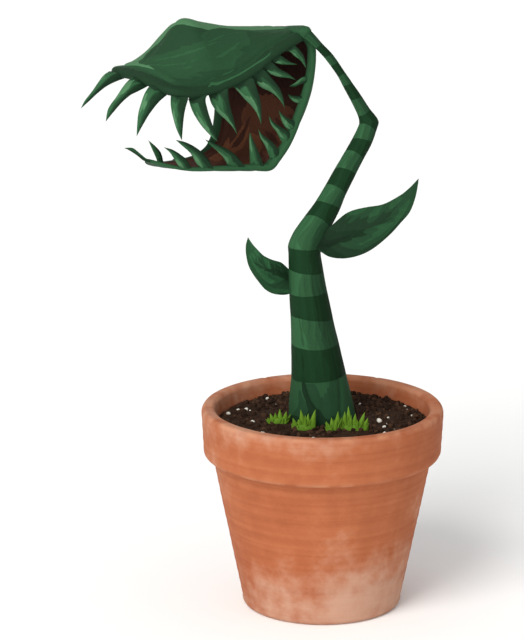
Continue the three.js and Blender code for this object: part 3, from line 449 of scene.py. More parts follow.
def stalk_skin():
    """Banded stalk. band (mm) is positive in the pale bands; tone picks the shade inside a band."""
    k = Look("stalk_skin", 0.68, 0.03)
    tone, band, fibre = k.field("tone"), k.field("band"), k.field("fibre", True)
    fine = k.grain(k.place((1, 1, 1), fibre), 1.0, 4.0, 0.6, 0.2)
    # patches, added in order: painted light on the lit side, painted shade on the shaded side and deeper painted shade
    # on its far part, light and dark streaks, painted shade in the faint and the deep folds
    shade = k.patches(tone, (0.22, -0.25, -0.10, 0.08, -0.10, -0.22, -0.50), k.maths("MULTIPLY", k.maths("SUBTRACT", fine, 0.5), 0.12), 0.02, True)
    shade = k.maths("MULTIPLY_ADD", k.maths("SUBTRACT", fine, 0.5), 0.06, shade)
    pale = k.ramp(shade, [(0.0, "#203825"), (0.25, "#2a4b32"), (0.5, "#32593a"), (0.75, "#3b6945"), (1.0, "#477a52")], STALK_GAIN)
    dark = k.ramp(shade, [(0.0, "#132c17"), (0.25, "#1a361f"), (0.5, "#1e3e25"), (0.75, "#22472b"), (1.0, "#2b5234")], STALK_GAIN)
    edge = k.maths("MULTIPLY_ADD", k.maths("SUBTRACT", fine, 0.5), 0.16, band)
    colour = k.mix(k.step(edge, -0.08, 0.08), dark, pale)
    line = k.step(k.maths("ABSOLUTE", k.maths("ADD", edge, 0.14)), 0.16, 0.02, 0.0, 0.35)
    colour = k.mix(line, colour, rgb("#16301b", STALK_GAIN))
    where = k.place()
    colour = k.mix(0.22, colour, k.mix(k.grain(where, 800, 3.0, 0.6), rgb("#4c4c4c"), rgb("#b8b8b8")), "SOFT_LIGHT")
    n = k.bump(k.grain(k.place((0.25, 1.6, 1.0), fibre), 1.0, 2.5, 0.5), 0.0003, 0.4)
    n = k.bump(k.grain(where, 2600, 2.0, 0.5), 0.00007, 0.4, n)
    return k.finish(colour, k.step(fine, 0.3, 0.7, 0.58, 0.72), n)


def leaf_skin(name, gain):
    k = Look(name, 0.62, 0.04)
    tone, fibre = k.field("tone"), k.field("fibre", True)
    fine = k.grain(k.place((1, 1, 1), fibre), 1.0, 4.0, 0.6, 0.2)
    shade = k.patches(0.64, (0.84, 0.42, 0.22, 0.03), k.maths("MULTIPLY", k.maths("SUBTRACT", fine, 0.5), 0.8), 0.12)
    shade = k.maths("MULTIPLY_ADD", k.maths("SUBTRACT", fine, 0.5), 0.05, k.maths("ADD", shade, tone))
    colour = k.ramp(shade, [(0.0, "#1a301f"), (0.22, "#1f3924"), (0.42, "#243f2a"), (0.62, "#2a4d32"), (0.82, "#2e5838"), (1.0, "#3a6a45")], gain)
    where = k.place()
    colour = k.mix(0.22, colour, k.mix(k.grain(where, 900, 3.0, 0.6), rgb("#4c4c4c"), rgb("#b8b8b8")), "SOFT_LIGHT")
    n = k.bump(k.grain(k.place((0.6, 1.6, 1.0), fibre), 1.0, 2.0, 0.5), 0.00025, 0.45)
    n = k.bump(k.cells(where, 1800, "DISTANCE_TO_EDGE"), 0.00005, 0.35, n)
    return k.finish(colour, k.step(fine, 0.3, 0.7, 0.54, 0.66), n)


def grass_skin():
    k = Look("grass_skin", 0.6, 0.1)
    tone, fibre = k.field("tone"), k.field("fibre", True)
    fine = k.grain(k.place((1, 1, 1), fibre), 1.0, 3.0, 0.6)
    shade = k.maths("MULTIPLY_ADD", k.maths("SUBTRACT", fine, 0.5), 0.2, tone)
    colour = k.ramp(shade, [(0.0, "#324a10"), (0.35, "#4a6b1a"), (0.6, "#56781f"), (0.85, "#618528"), (1.0, "#769a38")], GRASS_GAIN)
    n = k.bump(fine, 0.00015, 0.5)
    return k.finish(colour, None, n)


def peat():
    k = Look("peat", 0.95, 0.1)
    where = k.place()
    tone = k.field("tone")
    a = k.grain(where, 700, 5.0, 0.7)
    b = k.grain(where, 3500, 3.0, 0.6)
    shade = k.maths("ADD", k.maths("MULTIPLY", a, 0.5), k.maths("MULTIPLY_ADD", tone, 0.6, -0.05))
    colour = k.ramp(shade, [(0.0, "#140d09"), (0.3, "#251810"), (0.5, "#35241a"), (0.75, "#4b3526"), (1.0, "#6b5039")])
    colour = k.mix(k.step(b, 0.62, 0.75, 0.0, 0.5), colour, rgb("#6e543b"))
    n = k.bump(a, 0.0006, 0.7)
    n = k.bump(b, 0.0002, 0.7, n)
    return k.finish(colour, None, n)


def perlite():
    k = Look("perlite", 0.9, 0.3)
    where = k.place()
    a = k.grain(where, 2200, 4.0, 0.6)
    colour = k.ramp(a, [(0.25, "#b9b2a4"), (0.5, "#dbd6ca"), (0.75, "#efece4")])
    return k.finish(colour, None, k.bump(a, 0.0003, 0.8))


def terracotta():
    k = Look("terracotta", 0.86, 0.18)
    where = k.place()
    wear, height = k.field("wear"), k.field("height")
    broad = k.grain(where, 32, 5.0, 0.62)
    mid = k.grain(where, 240, 5.0, 0.6)
    fine = k.grain(where, 2600, 3.0, 0.6)
    turned = k.grain(k.place((10, 10, 700)), 1.0, 4.0, 0.6)
    shade = k.maths("ADD", k.maths("MULTIPLY", broad, 0.5), k.maths("ADD", k.maths("MULTIPLY", mid, 0.2), k.maths("MULTIPLY", turned, 0.3)))
    colour = k.ramp(shade, [(0.3, "#9c5433"), (0.45, "#ae623e"), (0.56, "#ba6e48"), (0.7, "#c88260")], CLAY_GAIN)
    colour = k.mix(k.step(fine, 0.6, 0.78, 0.0, 0.3), colour, rgb("#7e3f25", CLAY_GAIN))
    colour = k.mix(k.step(fine, 0.36, 0.22, 0.0, 0.25), colour, rgb("#dca27e", CLAY_GAIN))
    bloom = k.step(k.maths("ADD", k.maths("MULTIPLY_ADD", mid, 0.35, broad), k.maths("MULTIPLY", height, 0.30)), 0.72, 1.12)
    colour = k.mix(k.maths("MULTIPLY", bloom, 0.5), colour, rgb("#d3baa5", CLAY_GAIN))
    colour = k.mix(k.maths("MULTIPLY", wear, 0.45), colour, rgb("#d99b76", CLAY_GAIN))
    n = k.bump(turned, 0.00022, 0.5)
    n = k.bump(mid, 0.0003, 0.3, n)
    n = k.bump(fine, 0.0001, 0.5, n)
    return k.finish(colour, k.step(broad, 0.35, 0.7, 0.8, 0.93), n)


# How far each drawn colour is brought down or up, so that it comes out right in this light.
# The mouth's brown is brought up two to three times, and the left leaf gets a brighter copy, against the shade they lie
# in: painted light.
TRAP_TOP_GAIN, TRAP_LOW_GAIN, INSIDE_GAIN, DEEP_GAIN = 0.66, 0.80, 3.0, 2.1
BRISTLE_GAIN, STALK_GAIN, LEAF_GAIN, LEAF_LEFT_GAIN, GRASS_GAIN, CLAY_GAIN = 0.69, 0.72, 0.59, 0.93, 1.18, 0.80
# upper lobe patches in order: painted shade, lighter strokes, painted rim light along the ridge, painted shade under
# the lip, painted highlight along the crease
TRAP_TOP = trap_skin("trap_skin", TRAP_TOP_GAIN, (0.36, 0.59, 0.86, 0.18, 0.66))
TRAP_LOW = trap_skin("trap_skin_low", TRAP_LOW_GAIN, (0.54, 0.70, 0.34))
BRISTLE, STALK = bristle_skin(), stalk_skin()
# the left leaf gets a brighter copy of the leaf skin, against the shade it lies in: painted light
LEAF_R, LEAF_L = leaf_skin("leaf_skin", LEAF_GAIN), leaf_skin("leaf_skin_shaded", LEAF_LEFT_GAIN)
GRASS, PEAT, PERLITE, CLAY = grass_skin(), peat(), perlite(), terracotta()

# ---------------------------------------------------------------- trap frame
LV = np.array([math.sin(TRAP_TURN), -math.cos(TRAP_TURN), 0.0])
FV = np.array([-math.cos(TRAP_TURN), -math.sin(TRAP_TURN), 0.0])
TRAP_MID = at(345, 25, TRAP_Y) - LV * TRAP_WIDTH / 2


def trap(q):
    q = np.asarray(q, float)
    return TRAP_MID + q[..., :1] * FV + q[..., 1:2] * LV + q[..., 2:3] * np.array([0.0, 0.0, 1.0])


def trap_of(p):
    d = np.asarray(p, float) - TRAP_MID
    return np.stack([d @ FV, d @ LV, d[..., 2]], -1)


def on_l(u, v, l):
    return trap_of(on_plane(u, v, trap([0, l, 0]), LV))


# ---------------------------------------------------------------- lobes
def sheet_point(sheet, s, w):
    a, m, b = (spline(sheet["knots"], sheet[g], s) for g in ("near", "middle", "far"))
    w = np.asarray(w, float)[..., None]
    q = m + w * (a - b) / 2 + np.abs(w) ** sheet["power"] * ((a + b) / 2 - m)
    return trap(q)


def sheet_normal(sheet, s, w):
    e = 0.01
    s, w = np.asarray(s, float), np.asarray(w, float)
    ds = sheet_point(sheet, np.minimum(1, s + e), w) - sheet_point(sheet, np.maximum(0, s - e), w)
    dw = sheet_point(sheet, s, np.minimum(1, w + e)) - sheet_point(sheet, s, np.maximum(-1, w - e))
    return unit(np.cross(ds, dw)) * sheet["side"]


def sheet_edge(sheet, angle):
    angle = np.asarray(angle, float)
    c, s = np.cos(angle), np.sin(angle)
    p = np.where(s >= 0, sheet["frontPower"], sheet["backPower"])
    r = (np.abs(c) ** p + np.abs(s) ** p) ** (-1 / p)
    w, x = c * r, s * r
    return sheet["centre"] + x * np.where(s >= 0, 1 - sheet["centre"], sheet["centre"] - sheet["root"]), w


def even_edge(sheet, count):
    angle = np.linspace(0, 2 * math.pi, 2401)
    p = sheet_point(sheet, *sheet_edge(sheet, angle))
    d = lengths(p)
    target = d[-1] * (np.arange(count) + 0.5) / count
    return sheet_edge(sheet, np.interp(target, d, angle))


def edge_near(sheet, u, v, lo, hi):
    angle = np.linspace(lo, hi, 1201)
    p = sheet_point(sheet, *sheet_edge(sheet, angle))
    pu, pv = outline(p)
    i = int(np.argmin(np.hypot(pu - u, pv - v)))
    return angle[i], p[i]


def nearest(points, targets, chunk=4000):
    """Distance from each point to the nearest target."""
    out = np.empty(len(points))
    for i in range(0, len(points), chunk):
        d = points[i:i + chunk, None] - targets[None]
        out[i:i + chunk] = np.sqrt(dots(d, d).min(1))
    return out


UPPER_L = 14.3
upper_near = np.array([on_l(u, v, UPPER_L) for u, v in
                       [[350, 28], [332, 35.5], [316, 44.5], [297, 56], [282, 70.5], [262, 85], [240, 97],
                        [222, 105], [200, 112], [177, 117], [150, 119.5]]])
UPPER_F = [-1.6, 3, 7, 11, 15, 19, 23, 27, 29.5, 32, 35, 38.5, 41]
UPPER_MID_V = [-1.3, -0.5, -0.1, 0.4, 1.0, 1.9, 2.9, 3.9, 1.9, -1.2, -4.2, -7.1, -9.0]
UPPER_FAR_V = [-6.5, -6.8, -7.3, -7.8, -8.3, -8.9, -9.5, -10.1, -10.3, -10.3, -10.2, -9.9, -9.8]
UPPER_FRONT, UPPER_BACK = UPPER_F[-1], UPPER_F[0]
UPPER = {
    "knots": [(f - UPPER_BACK) / (UPPER_FRONT - UPPER_BACK) for f in UPPER_F],
    "near": [[f, UPPER_L, float(spline(upper_near[:, 0], upper_near[:, 2], f))] for f in UPPER_F],
    "middle": [[f, 0, v] for f, v in zip(UPPER_F, UPPER_MID_V)],
    "far": [[f, -UPPER_L - 1.1 * max(0, f) / UPPER_FRONT, v] for f, v in zip(UPPER_F, UPPER_FAR_V)],
    "power": 1.8, "side": 1, "tipThin": 1, "centre": 0.52, "root": 0, "frontPower": 7, "backPower": 9,
}
LOWER_L = 13.4
LOWER_NEAR = [[354, 27], [357.5, 42], [358, 60], [356.5, 80], [352, 105], [344.5, 130], [336.5, 152],
              [328, 175], [318, 196], [304, 217], [292.5, 230.6]]
LOWER_FAR = [[226, 60], [219, 85], [215.5, 108], [214, 128], [213.5, 146], [212, 162], [209.5, 177],
             [205.5, 190.5], [198, 203.5], [184.5, 214.5], [168, 221]]
LOWER_MID = [[-1.6, -2.6], [-4.6, -6.3], [-6.4, -10.8], [-6.9, -15.6], [-6.3, -20.4], [-4.8, -24.8], [-2.3, -28.6],
             [1.2, -31.6], [5.6, -33.8], [10.6, -35.1], [16, -35.3], [22, -35], [28, -34.1], [33.3, -32.9], [37.4, -31.3]]
LOWER = {
    "knots": [i / (len(LOWER_MID) - 1) for i in range(len(LOWER_MID))],
    "near": [list(on_l(u, v, LOWER_L)) for u, v in LOWER_NEAR]
    + [[14, LOWER_L, -33.3], [22, LOWER_L, -32.5], [30.2, LOWER_L, -32.3], [37.4, LOWER_L, -31.3]],
    "middle": [[f, 0, v] for f, v in LOWER_MID],
    "far": [list(on_l(u, v, -LOWER_L)) for u, v in LOWER_FAR]
    + [[22.5, -LOWER_L, -35.9], [28, -LOWER_L, -35.2], [33.3, -LOWER_L, -33.8], [37.4, -LOWER_L, -31.8]],
    "power": 2, "side": -1, "tipThin": LOWER_TIP_THIN, "centre": 0.70, "root": 0, "frontPower": 1.8, "backPower": 9,
}


def lobe(sheet, around, across, rim_steps, relief):
    """Points, faces and surface values of a lobe. relief(s, w, edge, face) lifts the face it is on, in mm."""
    es, ew = even_edge(sheet, around)
    rim_p, rim_n = sheet_point(sheet, es, ew), sheet_normal(sheet, es, ew)
    tangent = unit(np.roll(rim_p, -1, 0) - np.roll(rim_p, 1, 0))
    out = unit(np.cross(tangent, rim_n))
    inward = sheet_point(sheet, sheet["centre"] + (es - sheet["centre"]) * 0.97, ew * 0.97)
    out *= np.where(dots(out, rim_p - inward) < 0, -1, 1)[:, None]

    def half(edge, s):
        k = 1 - smooth(edge, 0.0, 3.0)
        thin = 1 - (1 - sheet["tipThin"] * 0.8) * smooth(s, 0.62, 1.0) if sheet["tipThin"] < 1 else 1.0
        return (LOBE_HALF_THICK + (LOBE_RIM_R - LOBE_HALF_THICK) * k) * thin

    r = 1 - (1 - np.arange(1, across + 1) / across) ** 1.4
    s = sheet["centre"] + (es - sheet["centre"])[None] * r[:, None]
    w = ew[None] * r[:, None]
    p, n = sheet_point(sheet, s, w), sheet_normal(sheet, s, w)
    edge = nearest(p.reshape(-1, 3), rim_p).reshape(s.shape)
    edge[-1] = 0
    thick = half(edge, s)
    rows, keep = [], {"s": [], "w": [], "edge": [], "face": []}

    def add(points, s_, w_, edge_, face_):
        rows.append(points)
        for key, value in zip(("s", "w", "edge", "face"), (s_, w_, edge_, np.broadcast_to(face_, s_.shape))):
            keep[key].append(value)

    top = p + n * (thick + relief(s, w, edge, 1))[..., None]
    under = p - n * (thick + relief(s, w, edge, -1))[..., None]
    for i in range(across):
        add(top[i], s[i], w[i], edge[i], 1.0)
    for k in range(1, rim_steps):
        x = math.pi * k / rim_steps
        t = half(np.zeros(around), es)[:, None]
        add(rim_p + rim_n * t * math.cos(x) + out * t * math.sin(x), es, ew, -t[:, 0] * math.sin(x), math.cos(x))
    for i in range(across - 1, -1, -1):
        add(under[i], s[i], w[i], edge[i], -1.0)
    rings = np.stack(rows)
    m = len(rings)
    i, j = np.arange(m - 1)[:, None], np.arange(around)[None, :]
    k = (j + 1) % around
    quads = np.stack([i * around + j, i * around + k, (i + 1) * around + k, (i + 1) * around + j], -1).reshape(-1, 4)
    j, k = np.arange(around), (np.arange(around) + 1) % around
    c, deep = np.array(sheet["centre"]), nearest(sheet_point(sheet, sheet["centre"], 0)[None], rim_p)
    mid, mid_n = sheet_point(sheet, c, np.array(0.0)), sheet_normal(sheet, c, np.array(0.0))
    ends = [mid + mid_n * (half(deep, c) + relief(c, np.array(0.0), deep, 1)), mid - mid_n * (half(deep, c) + relief(c, np.array(0.0), deep, -1))]
    points = np.concatenate([rings.reshape(-1, 3)] + [np.reshape(e, (1, 3)) for e in ends])
    tris = [np.stack([np.full(around, m * around), k, j], -1),
            np.stack([np.full(around, m * around + 1), (m - 1) * around + j, (m - 1) * around + k], -1)]
    values = {key: np.concatenate([np.stack(v).ravel(), [x, y]]) for (key, v), (x, y) in
              zip(keep.items(), [(c, c), (0, 0), (deep[0], deep[0]), (1, -1)])}
    values["normal"] = np.concatenate([np.broadcast_to(n, (across,) + n.shape[1:]).reshape(-1, 3),
                                       np.broadcast_to(rim_n, (rim_steps - 1,) + rim_n.shape).reshape(-1, 3),
                                       -n[::-1].reshape(-1, 3), [mid_n.reshape(3)], [-mid_n.reshape(3)]])
    return points, [quads] + tris, values


# Regions of the upper lobe's outer face, as the front view shows them: painted rim light along the ridge, painted shade
# patches and a painted highlight along the crease.
RIDGE_RIM_LIGHT = [[36, 84], [69, 64], [106, 36], [134, 8], [149, -6], [182, -2], [225, 6], [264, 10], [312, 10], [346, 8],
         [346, 13], [312, 16.3], [290, 18], [268.6, 19], [240, 17], [216.5, 14.7], [204, 16.4], [199, 18.4], [186, 15.5], [172, 12.5],
         [160, 9.8], [152, 9.6], [147, 10.8], [138, 17], [130, 27], [121, 39], [110, 47], [101, 56], [96, 63], [89, 66.5],
         [90, 70], [106, 73.5], [116, 80.3], [100, 76], [85, 73.5], [66, 73.5], [58, 76]]
SHADE_LEFT = [[97, 64], [102, 55], [111, 46], [121, 38], [131, 26], [139, 16], [147, 10], [154, 9], [172, 12], [186, 15], [198, 18],
              [191, 22], [186, 27], [188, 31], [196, 34.5], [184, 37], [170, 39], [178, 42], [154, 43], [156, 47], [130, 54], [112, 60]]
SHADE_RIGHT = [[256, 20], [262, 34], [262, 42], [252, 45], [245, 50], [252, 53], [254, 56], [243, 62], [240, 66], [238, 76],
               [228, 79], [216, 80], [205, 82], [188, 83], [178, 84.5], [186, 87], [194, 91], [182, 91], [168, 90], [176, 95], [160, 94], [142, 93],
               [148, 97], [140, 99.5], [132, 97], [118, 91], [102, 85.5], [86, 80], [100, 86], [116, 92], [132, 101], [146, 110], [152, 112.5],
               [172, 111], [196, 108], [222, 101.5], [246, 91], [268, 77], [284, 64], [300, 47], [318, 36], [338, 28], [350, 20], [330, 20], [300, 22], [276, 22]]
CREASE_HIGHLIGHT = [[198, 106.5, 0.6], [203, 101.5, 2.2], [211, 102, 2.4], [225, 96.5, 1.4], [247, 86.5, 1.6], [262, 77, 1.3], [280, 65.5, 1.4], [291, 58, 1.0], [297, 48.5, 0.2]]
BRUSH = [  # lighter strokes on the middle of the face
    [[112, 66, 0.3], [140, 61, 1.6], [178, 50, 1.8], [222, 33, 0.2]],
    [[104, 72, 0.3], [128, 73, 1.0], [160, 70, 1.2], [190, 62, 0.2]],
    [[140, 80, 0.2], [172, 76, 1.1], [204, 66, 0.2]],
    [[206, 62, 0.3], [222, 56, 2.4], [238, 45, 1.8], [248, 36, 0.2]],
    [[188, 40, 0.2], [206, 34, 1.4], [222, 26, 0.2]],
    [[196, 97, 0.2], [226, 86, 1.1], [250, 72, 0.2]],
]


def upper_relief(s, w, edge, face):
    lift = 0.20 * np.exp(-((edge - 3.3) / 0.8) ** 2) - 0.26 * np.exp(-((edge - 2.05) / 0.5) ** 2)
    ribs = noise(np.asarray(w) * 9 + 1.1 * noise(np.asarray(s) * 2.1, np.asarray(w) * 1.3, 0, 5), np.asarray(s) * 1.7, 0, 3)
    lift = lift + 0.17 * ribs * smooth(edge, 2.5, 6.0)
    if face < 0:
        lift = lift * 0.5
    return lift * smooth(edge, 0.0, 1.0)


def make_upper():
    p, faces, f = lobe(UPPER, 500, 78, 12, upper_relief)
    u, v = outline(p)
    seen = dots(f["normal"], unit(EYE - p))
    along_f, across_f = u * 0.97 - v * 0.24, u * 0.24 + v * 0.97
    warp = 2.4 * noise(along_f / 11, across_f / 2.4, 0, 21) + 1.2 * noise(along_f / 5, across_f / 1.2, 0, 22)
    tone = 0.50 + 0.02 * fractal(u / 30, v / 9, 0, 23)
    ridge = within(u, v, RIDGE_RIM_LIGHT)
    wild = 0.9 * noise(f["s"] * 2.6, f["w"] * 5 + 3, 0, 24) + 0.6 * noise(f["s"] * 7, f["w"] * 16, 0, 25)
    outer = f["face"] > 0.2
    off = np.full(u.shape, -6.0)
    shade = np.maximum(within(u, v, SHADE_LEFT) + 0.40 * warp, within(u, v, SHADE_RIGHT) + 0.36 * warp)
    shade = np.where(outer, np.where(seen > 0.0, shade, (wild - 0.2) * 4), off)
    light = np.max([stroke(u, v, path) for path in BRUSH], 0) + 0.35 * warp
    light = np.where(outer, np.where(seen > 0.0, light, (-wild - 0.55) * 4), off)
    # painted highlight along the crease above the lip
    crease = np.where(outer & (seen > 0), stroke(u, v, CREASE_HIGHLIGHT) + 0.06 * warp - 0.12, off)
    # painted rim light along the ridge: inside the ridge region on faces seen from the front, and in a strip just past
    # the edge on faces behind
    band = np.where(seen > -0.02, ridge + 0.15 * warp, np.clip((0.11 + seen) * 26 + 0.55 * warp, -6, 6))
    band = np.where(outer, band, off)
    # the rolled lip, dark on the near side and along the front: painted shade on its underside
    reach = np.minimum((f["w"] * 1.6 + np.maximum(0, f["s"] - 0.72) * 5) * 4, (f["w"] + 0.4 + np.maximum(0, f["s"] - 0.8) * 6) * 6)
    lip = (1.3 - f["edge"] + 0.25 * noise(u / 3, v / 3, 0, 27)) * 3
    lip = np.where(outer | (f["edge"] < 0.6), np.minimum(lip, reach), off)
    inner = np.where(f["face"] < -0.5, f["edge"] - 1.6 + 0.5 * noise(f["s"] * 20, f["w"] * 20, 0, 28), -4.0)
    depth = 0.30 + 0.10 * fractal(f["s"] * 3, f["w"] * 9, 0, 29)
    tone = np.where(outer, tone, np.where(inner > 0, depth, tone))
    fibre = np.stack([f["s"] * 9, f["w"] * 26, f["face"] * 3], -1)
    put("trap_upper", p, faces, TRAP_TOP, ["trap_upper_lobe"],
        {"tone": tone, "inner": inner, "deep": 0.3 + 0.7 * smooth(f["edge"], 2, 9), "fibre": fibre,
         "patch_1": shade, "patch_2": light, "patch_3": band, "patch_4": lip, "patch_5": crease})


# Regions of the mouth's inner face, as the front view shows them.
PALE_MOUTH = [[258, 131], [250.5, 146], [249, 158], [250.5, 165], [243, 176.5], [240, 184], [232, 194], [231, 196], [229, 184], [224, 190],
              [220, 200], [219, 206], [206, 213], [198, 216.5], [204, 228], [222, 224], [246, 214], [252, 206], [258, 196], [259.5, 186],
              [262, 180], [268, 196], [276, 208], [288, 214], [300, 206], [312, 196], [322, 182], [328, 166], [333, 150], [331, 143], [324, 137], [317, 134.5],
              [312, 130], [302, 122], [297, 117], [291, 119], [287, 117], [282, 120], [277, 118], [270, 122]]
PALE_FLOOR = [[262, 176], [257, 190], [251, 204], [243, 216], [236, 226], [250, 234], [280, 234], [279, 222], [276, 208], [268, 196]]
BRIGHT_MOUTH = [
    [[198, 218, 0.5], [210, 217, 5.5], [228, 207, 7.5], [246, 196, 7], [255, 184, 4], [261, 168, 0.8]],
    [[221, 208, 3], [226, 197, 4.5], [229, 184, 0.4]],
    [[230, 204, 4], [243, 186, 3], [251, 172, 2], [256, 160, 0.5]],
    [[262, 178, 1], [272, 186, 5], [278, 200, 4.5], [272, 214, 0.5]],
    [[300, 176, 0.4], [306, 184, 3.6], [308, 192, 0.5]],
]
DARK_MOUTH = [
    [[264, 150.5, 0.3], [259, 160, 2.0], [256, 170, 2.2], [248, 186, 4.2], [240, 196, 4.4], [234, 201, 0.4]],
    [[249.5, 164.5, 0.9], [251, 165, 0.9]],
    [[286, 176, 1.6], [294, 182, 4.6], [304, 194, 3.0], [310, 204, 0.5]],
    [[300, 153, 1.0], [306, 160, 3.0], [316, 172, 2.4], [320, 182, 0.5]],
    [[318, 149, 0.6], [326, 152, 3.0], [331, 158, 1.8], [334, 162, 0.2]],
    [[281, 196, 0.3], [280, 207, 1.8], [279, 222, 2.4]],
]


def lower_relief(s, w, edge, face):
    lift = 0.16 * np.exp(-((edge - 3.1) / 0.8) ** 2) - 0.22 * np.exp(-((edge - 1.9) / 0.5) ** 2)
    ribs = noise(np.asarray(w) * 8 + 1.0 * noise(np.asarray(s) * 2.3, np.asarray(w) * 1.2, 0, 35), np.asarray(s) * 1.9, 0, 33)
    lift = lift + (0.16 if face > 0 else 0.28) * ribs * smooth(edge, 2.5, 6.5)
    return lift * smooth(edge, 0.0, 1.0) * (1 - 0.5 * smooth(s, 0.75, 1.0))


def make_lower():
    p, faces, f = lobe(LOWER, 470, 84, 12, lower_relief)
    u, v = outline(p)
    within_face = f["face"] < 0
    warp = 2.4 * noise(u / 3.2, v / 10, 0, 41) + 1.2 * noise(u / 1.6, v / 5, 0, 42)
    # inside: near black by the hinge, painted shade under the upper lobe, brown further down, with feathered strokes
    depth = smooth(v, 60, 215)
    inside_tone = 0.03 + 0.33 * depth + 0.03 * fractal(f["s"] * 4, f["w"] * 10, 0, 43)
    off = np.full(u.shape, -6.0)
    pale = np.maximum(within(u, v, PALE_MOUTH), within(u, v, PALE_FLOOR)) + 0.40 * warp
    bright = np.max([stroke(u, v, path) for path in BRIGHT_MOUTH], 0) + 0.30 * warp
    dark = np.max([stroke(u, v, path) for path in DARK_MOUTH], 0) + 0.22 * warp
    # outside and margin
    tone = 0.48 + 0.05 * fractal(f["s"] * 5, f["w"] * 12, 0, 44)
    wild = 0.9 * noise(f["s"] * 3.4, f["w"] * 6 + 7, 0, 45) + 0.6 * noise(f["s"] * 9, f["w"] * 18, 0, 46)
    tone = tone + (0.36 - tone) * smooth(wild, 0.15, 0.3) * (f["edge"] > 1.6)
    far = smooth(-f["w"], -0.1, 0.3)
    tone = np.where(f["edge"] < 2.2, 0.52 - 0.16 * far, tone)
    margin = 1.0 + 0.5 * smooth(f["w"], 0.0, 0.7) - 0.35 * smooth(f["s"], 0.8, 1.0)
    inner = np.where(f["face"] < -0.5, f["edge"] - margin, -4.0)
    mouth = within_face & (inner > -0.3)
    tone = np.where(mouth, inside_tone, tone)
    fibre = np.stack([f["s"] * 14, f["w"] * 24, f["face"] * 3], -1)
    put("trap_lower", p, faces, TRAP_LOW, ["trap_lower_lobe"],
        {"tone": tone, "inner": inner, "deep": 1 - smooth(f["s"], 0.35, 0.95), "fibre": fibre,
         "patch_1": np.where(mouth, pale, off), "patch_2": np.where(mouth, bright, off), "patch_3": np.where(mouth, dark, off)})


MIDRIB = [[-0.3, 15.4, 0.6], [-0.6, 14.2, 0.4], [-1.4, 9, -0.6], [-1.8, 3, -1.8], [-1.7, -3, -3.3],
          [-1.2, -9, -5.3], [-0.6, -13.6, -7.2], [-0.4, -15, -7.8]]
MIDRIB_R = [0.9, 1.75, 1.95, 1.95, 1.85, 1.7, 1.35, 0.6]


def tube(centre, e1, a, e2, b, sides):
    """Rings of half axes a along e1 and b along e2 round each centre."""
    t = 2 * math.pi * np.arange(sides) / sides
    a, b = (np.asarray(x, float) for x in (a, b))
    a = a[..., None] if a.ndim == 1 else a
    b = b[..., None] if b.ndim == 1 else b
    return centre[:, None] + e1[:, None] * (a * np.cos(t))[..., None] + e2[:, None] * (b * np.sin(t))[..., None]


def make_midrib():
    knots = np.linspace(0, 1, len(MIDRIB))
    t = np.linspace(0, 1, 110)
    centre = trap(spline(knots, MIDRIB, t))
    axis = unit(trap(spline(knots, MIDRIB, np.minimum(1, t + 0.02))) - trap(spline(knots, MIDRIB, np.maximum(0, t - 0.02))))
    e1 = unit(np.cross(axis, np.array([0, 0, 1.0])))
    e2 = unit(np.cross(axis, e1))
    r = spline(knots, MIDRIB_R, t) * np.sqrt(np.clip(np.minimum(t, 1 - t) / 0.03, 0.02, 1))
    phi = 2 * math.pi * np.arange(40) / 40
    ripple = 1 + 0.035 * noise(phi[None] * 2.2 + 0 * t[:, None], t[:, None] * 14, 0, 51)
    rings = tube(centre, e1, r[:, None] * ripple, e2, r[:, None] * ripple, 40)
    points, faces = loft(rings)
    tone = spread(0.48 + 0.08 * noise(phi[None] * 3 + 0 * t[:, None], t[:, None] * 6, 0, 52))
    fibre = spread(np.stack(np.broadcast_arrays(t[:, None] * 12, phi[None] * 3, 0.0), -1))
    put("midrib", points, faces, TRAP_LOW, ["trap_midrib"], {"tone": tone, "inner": np.full(len(points), -4.0), "deep": 0 * tone, "fibre": fibre, "patch_1": 0 * tone - 6, "patch_2": 0 * tone - 6, "patch_3": 0 * tone - 6})


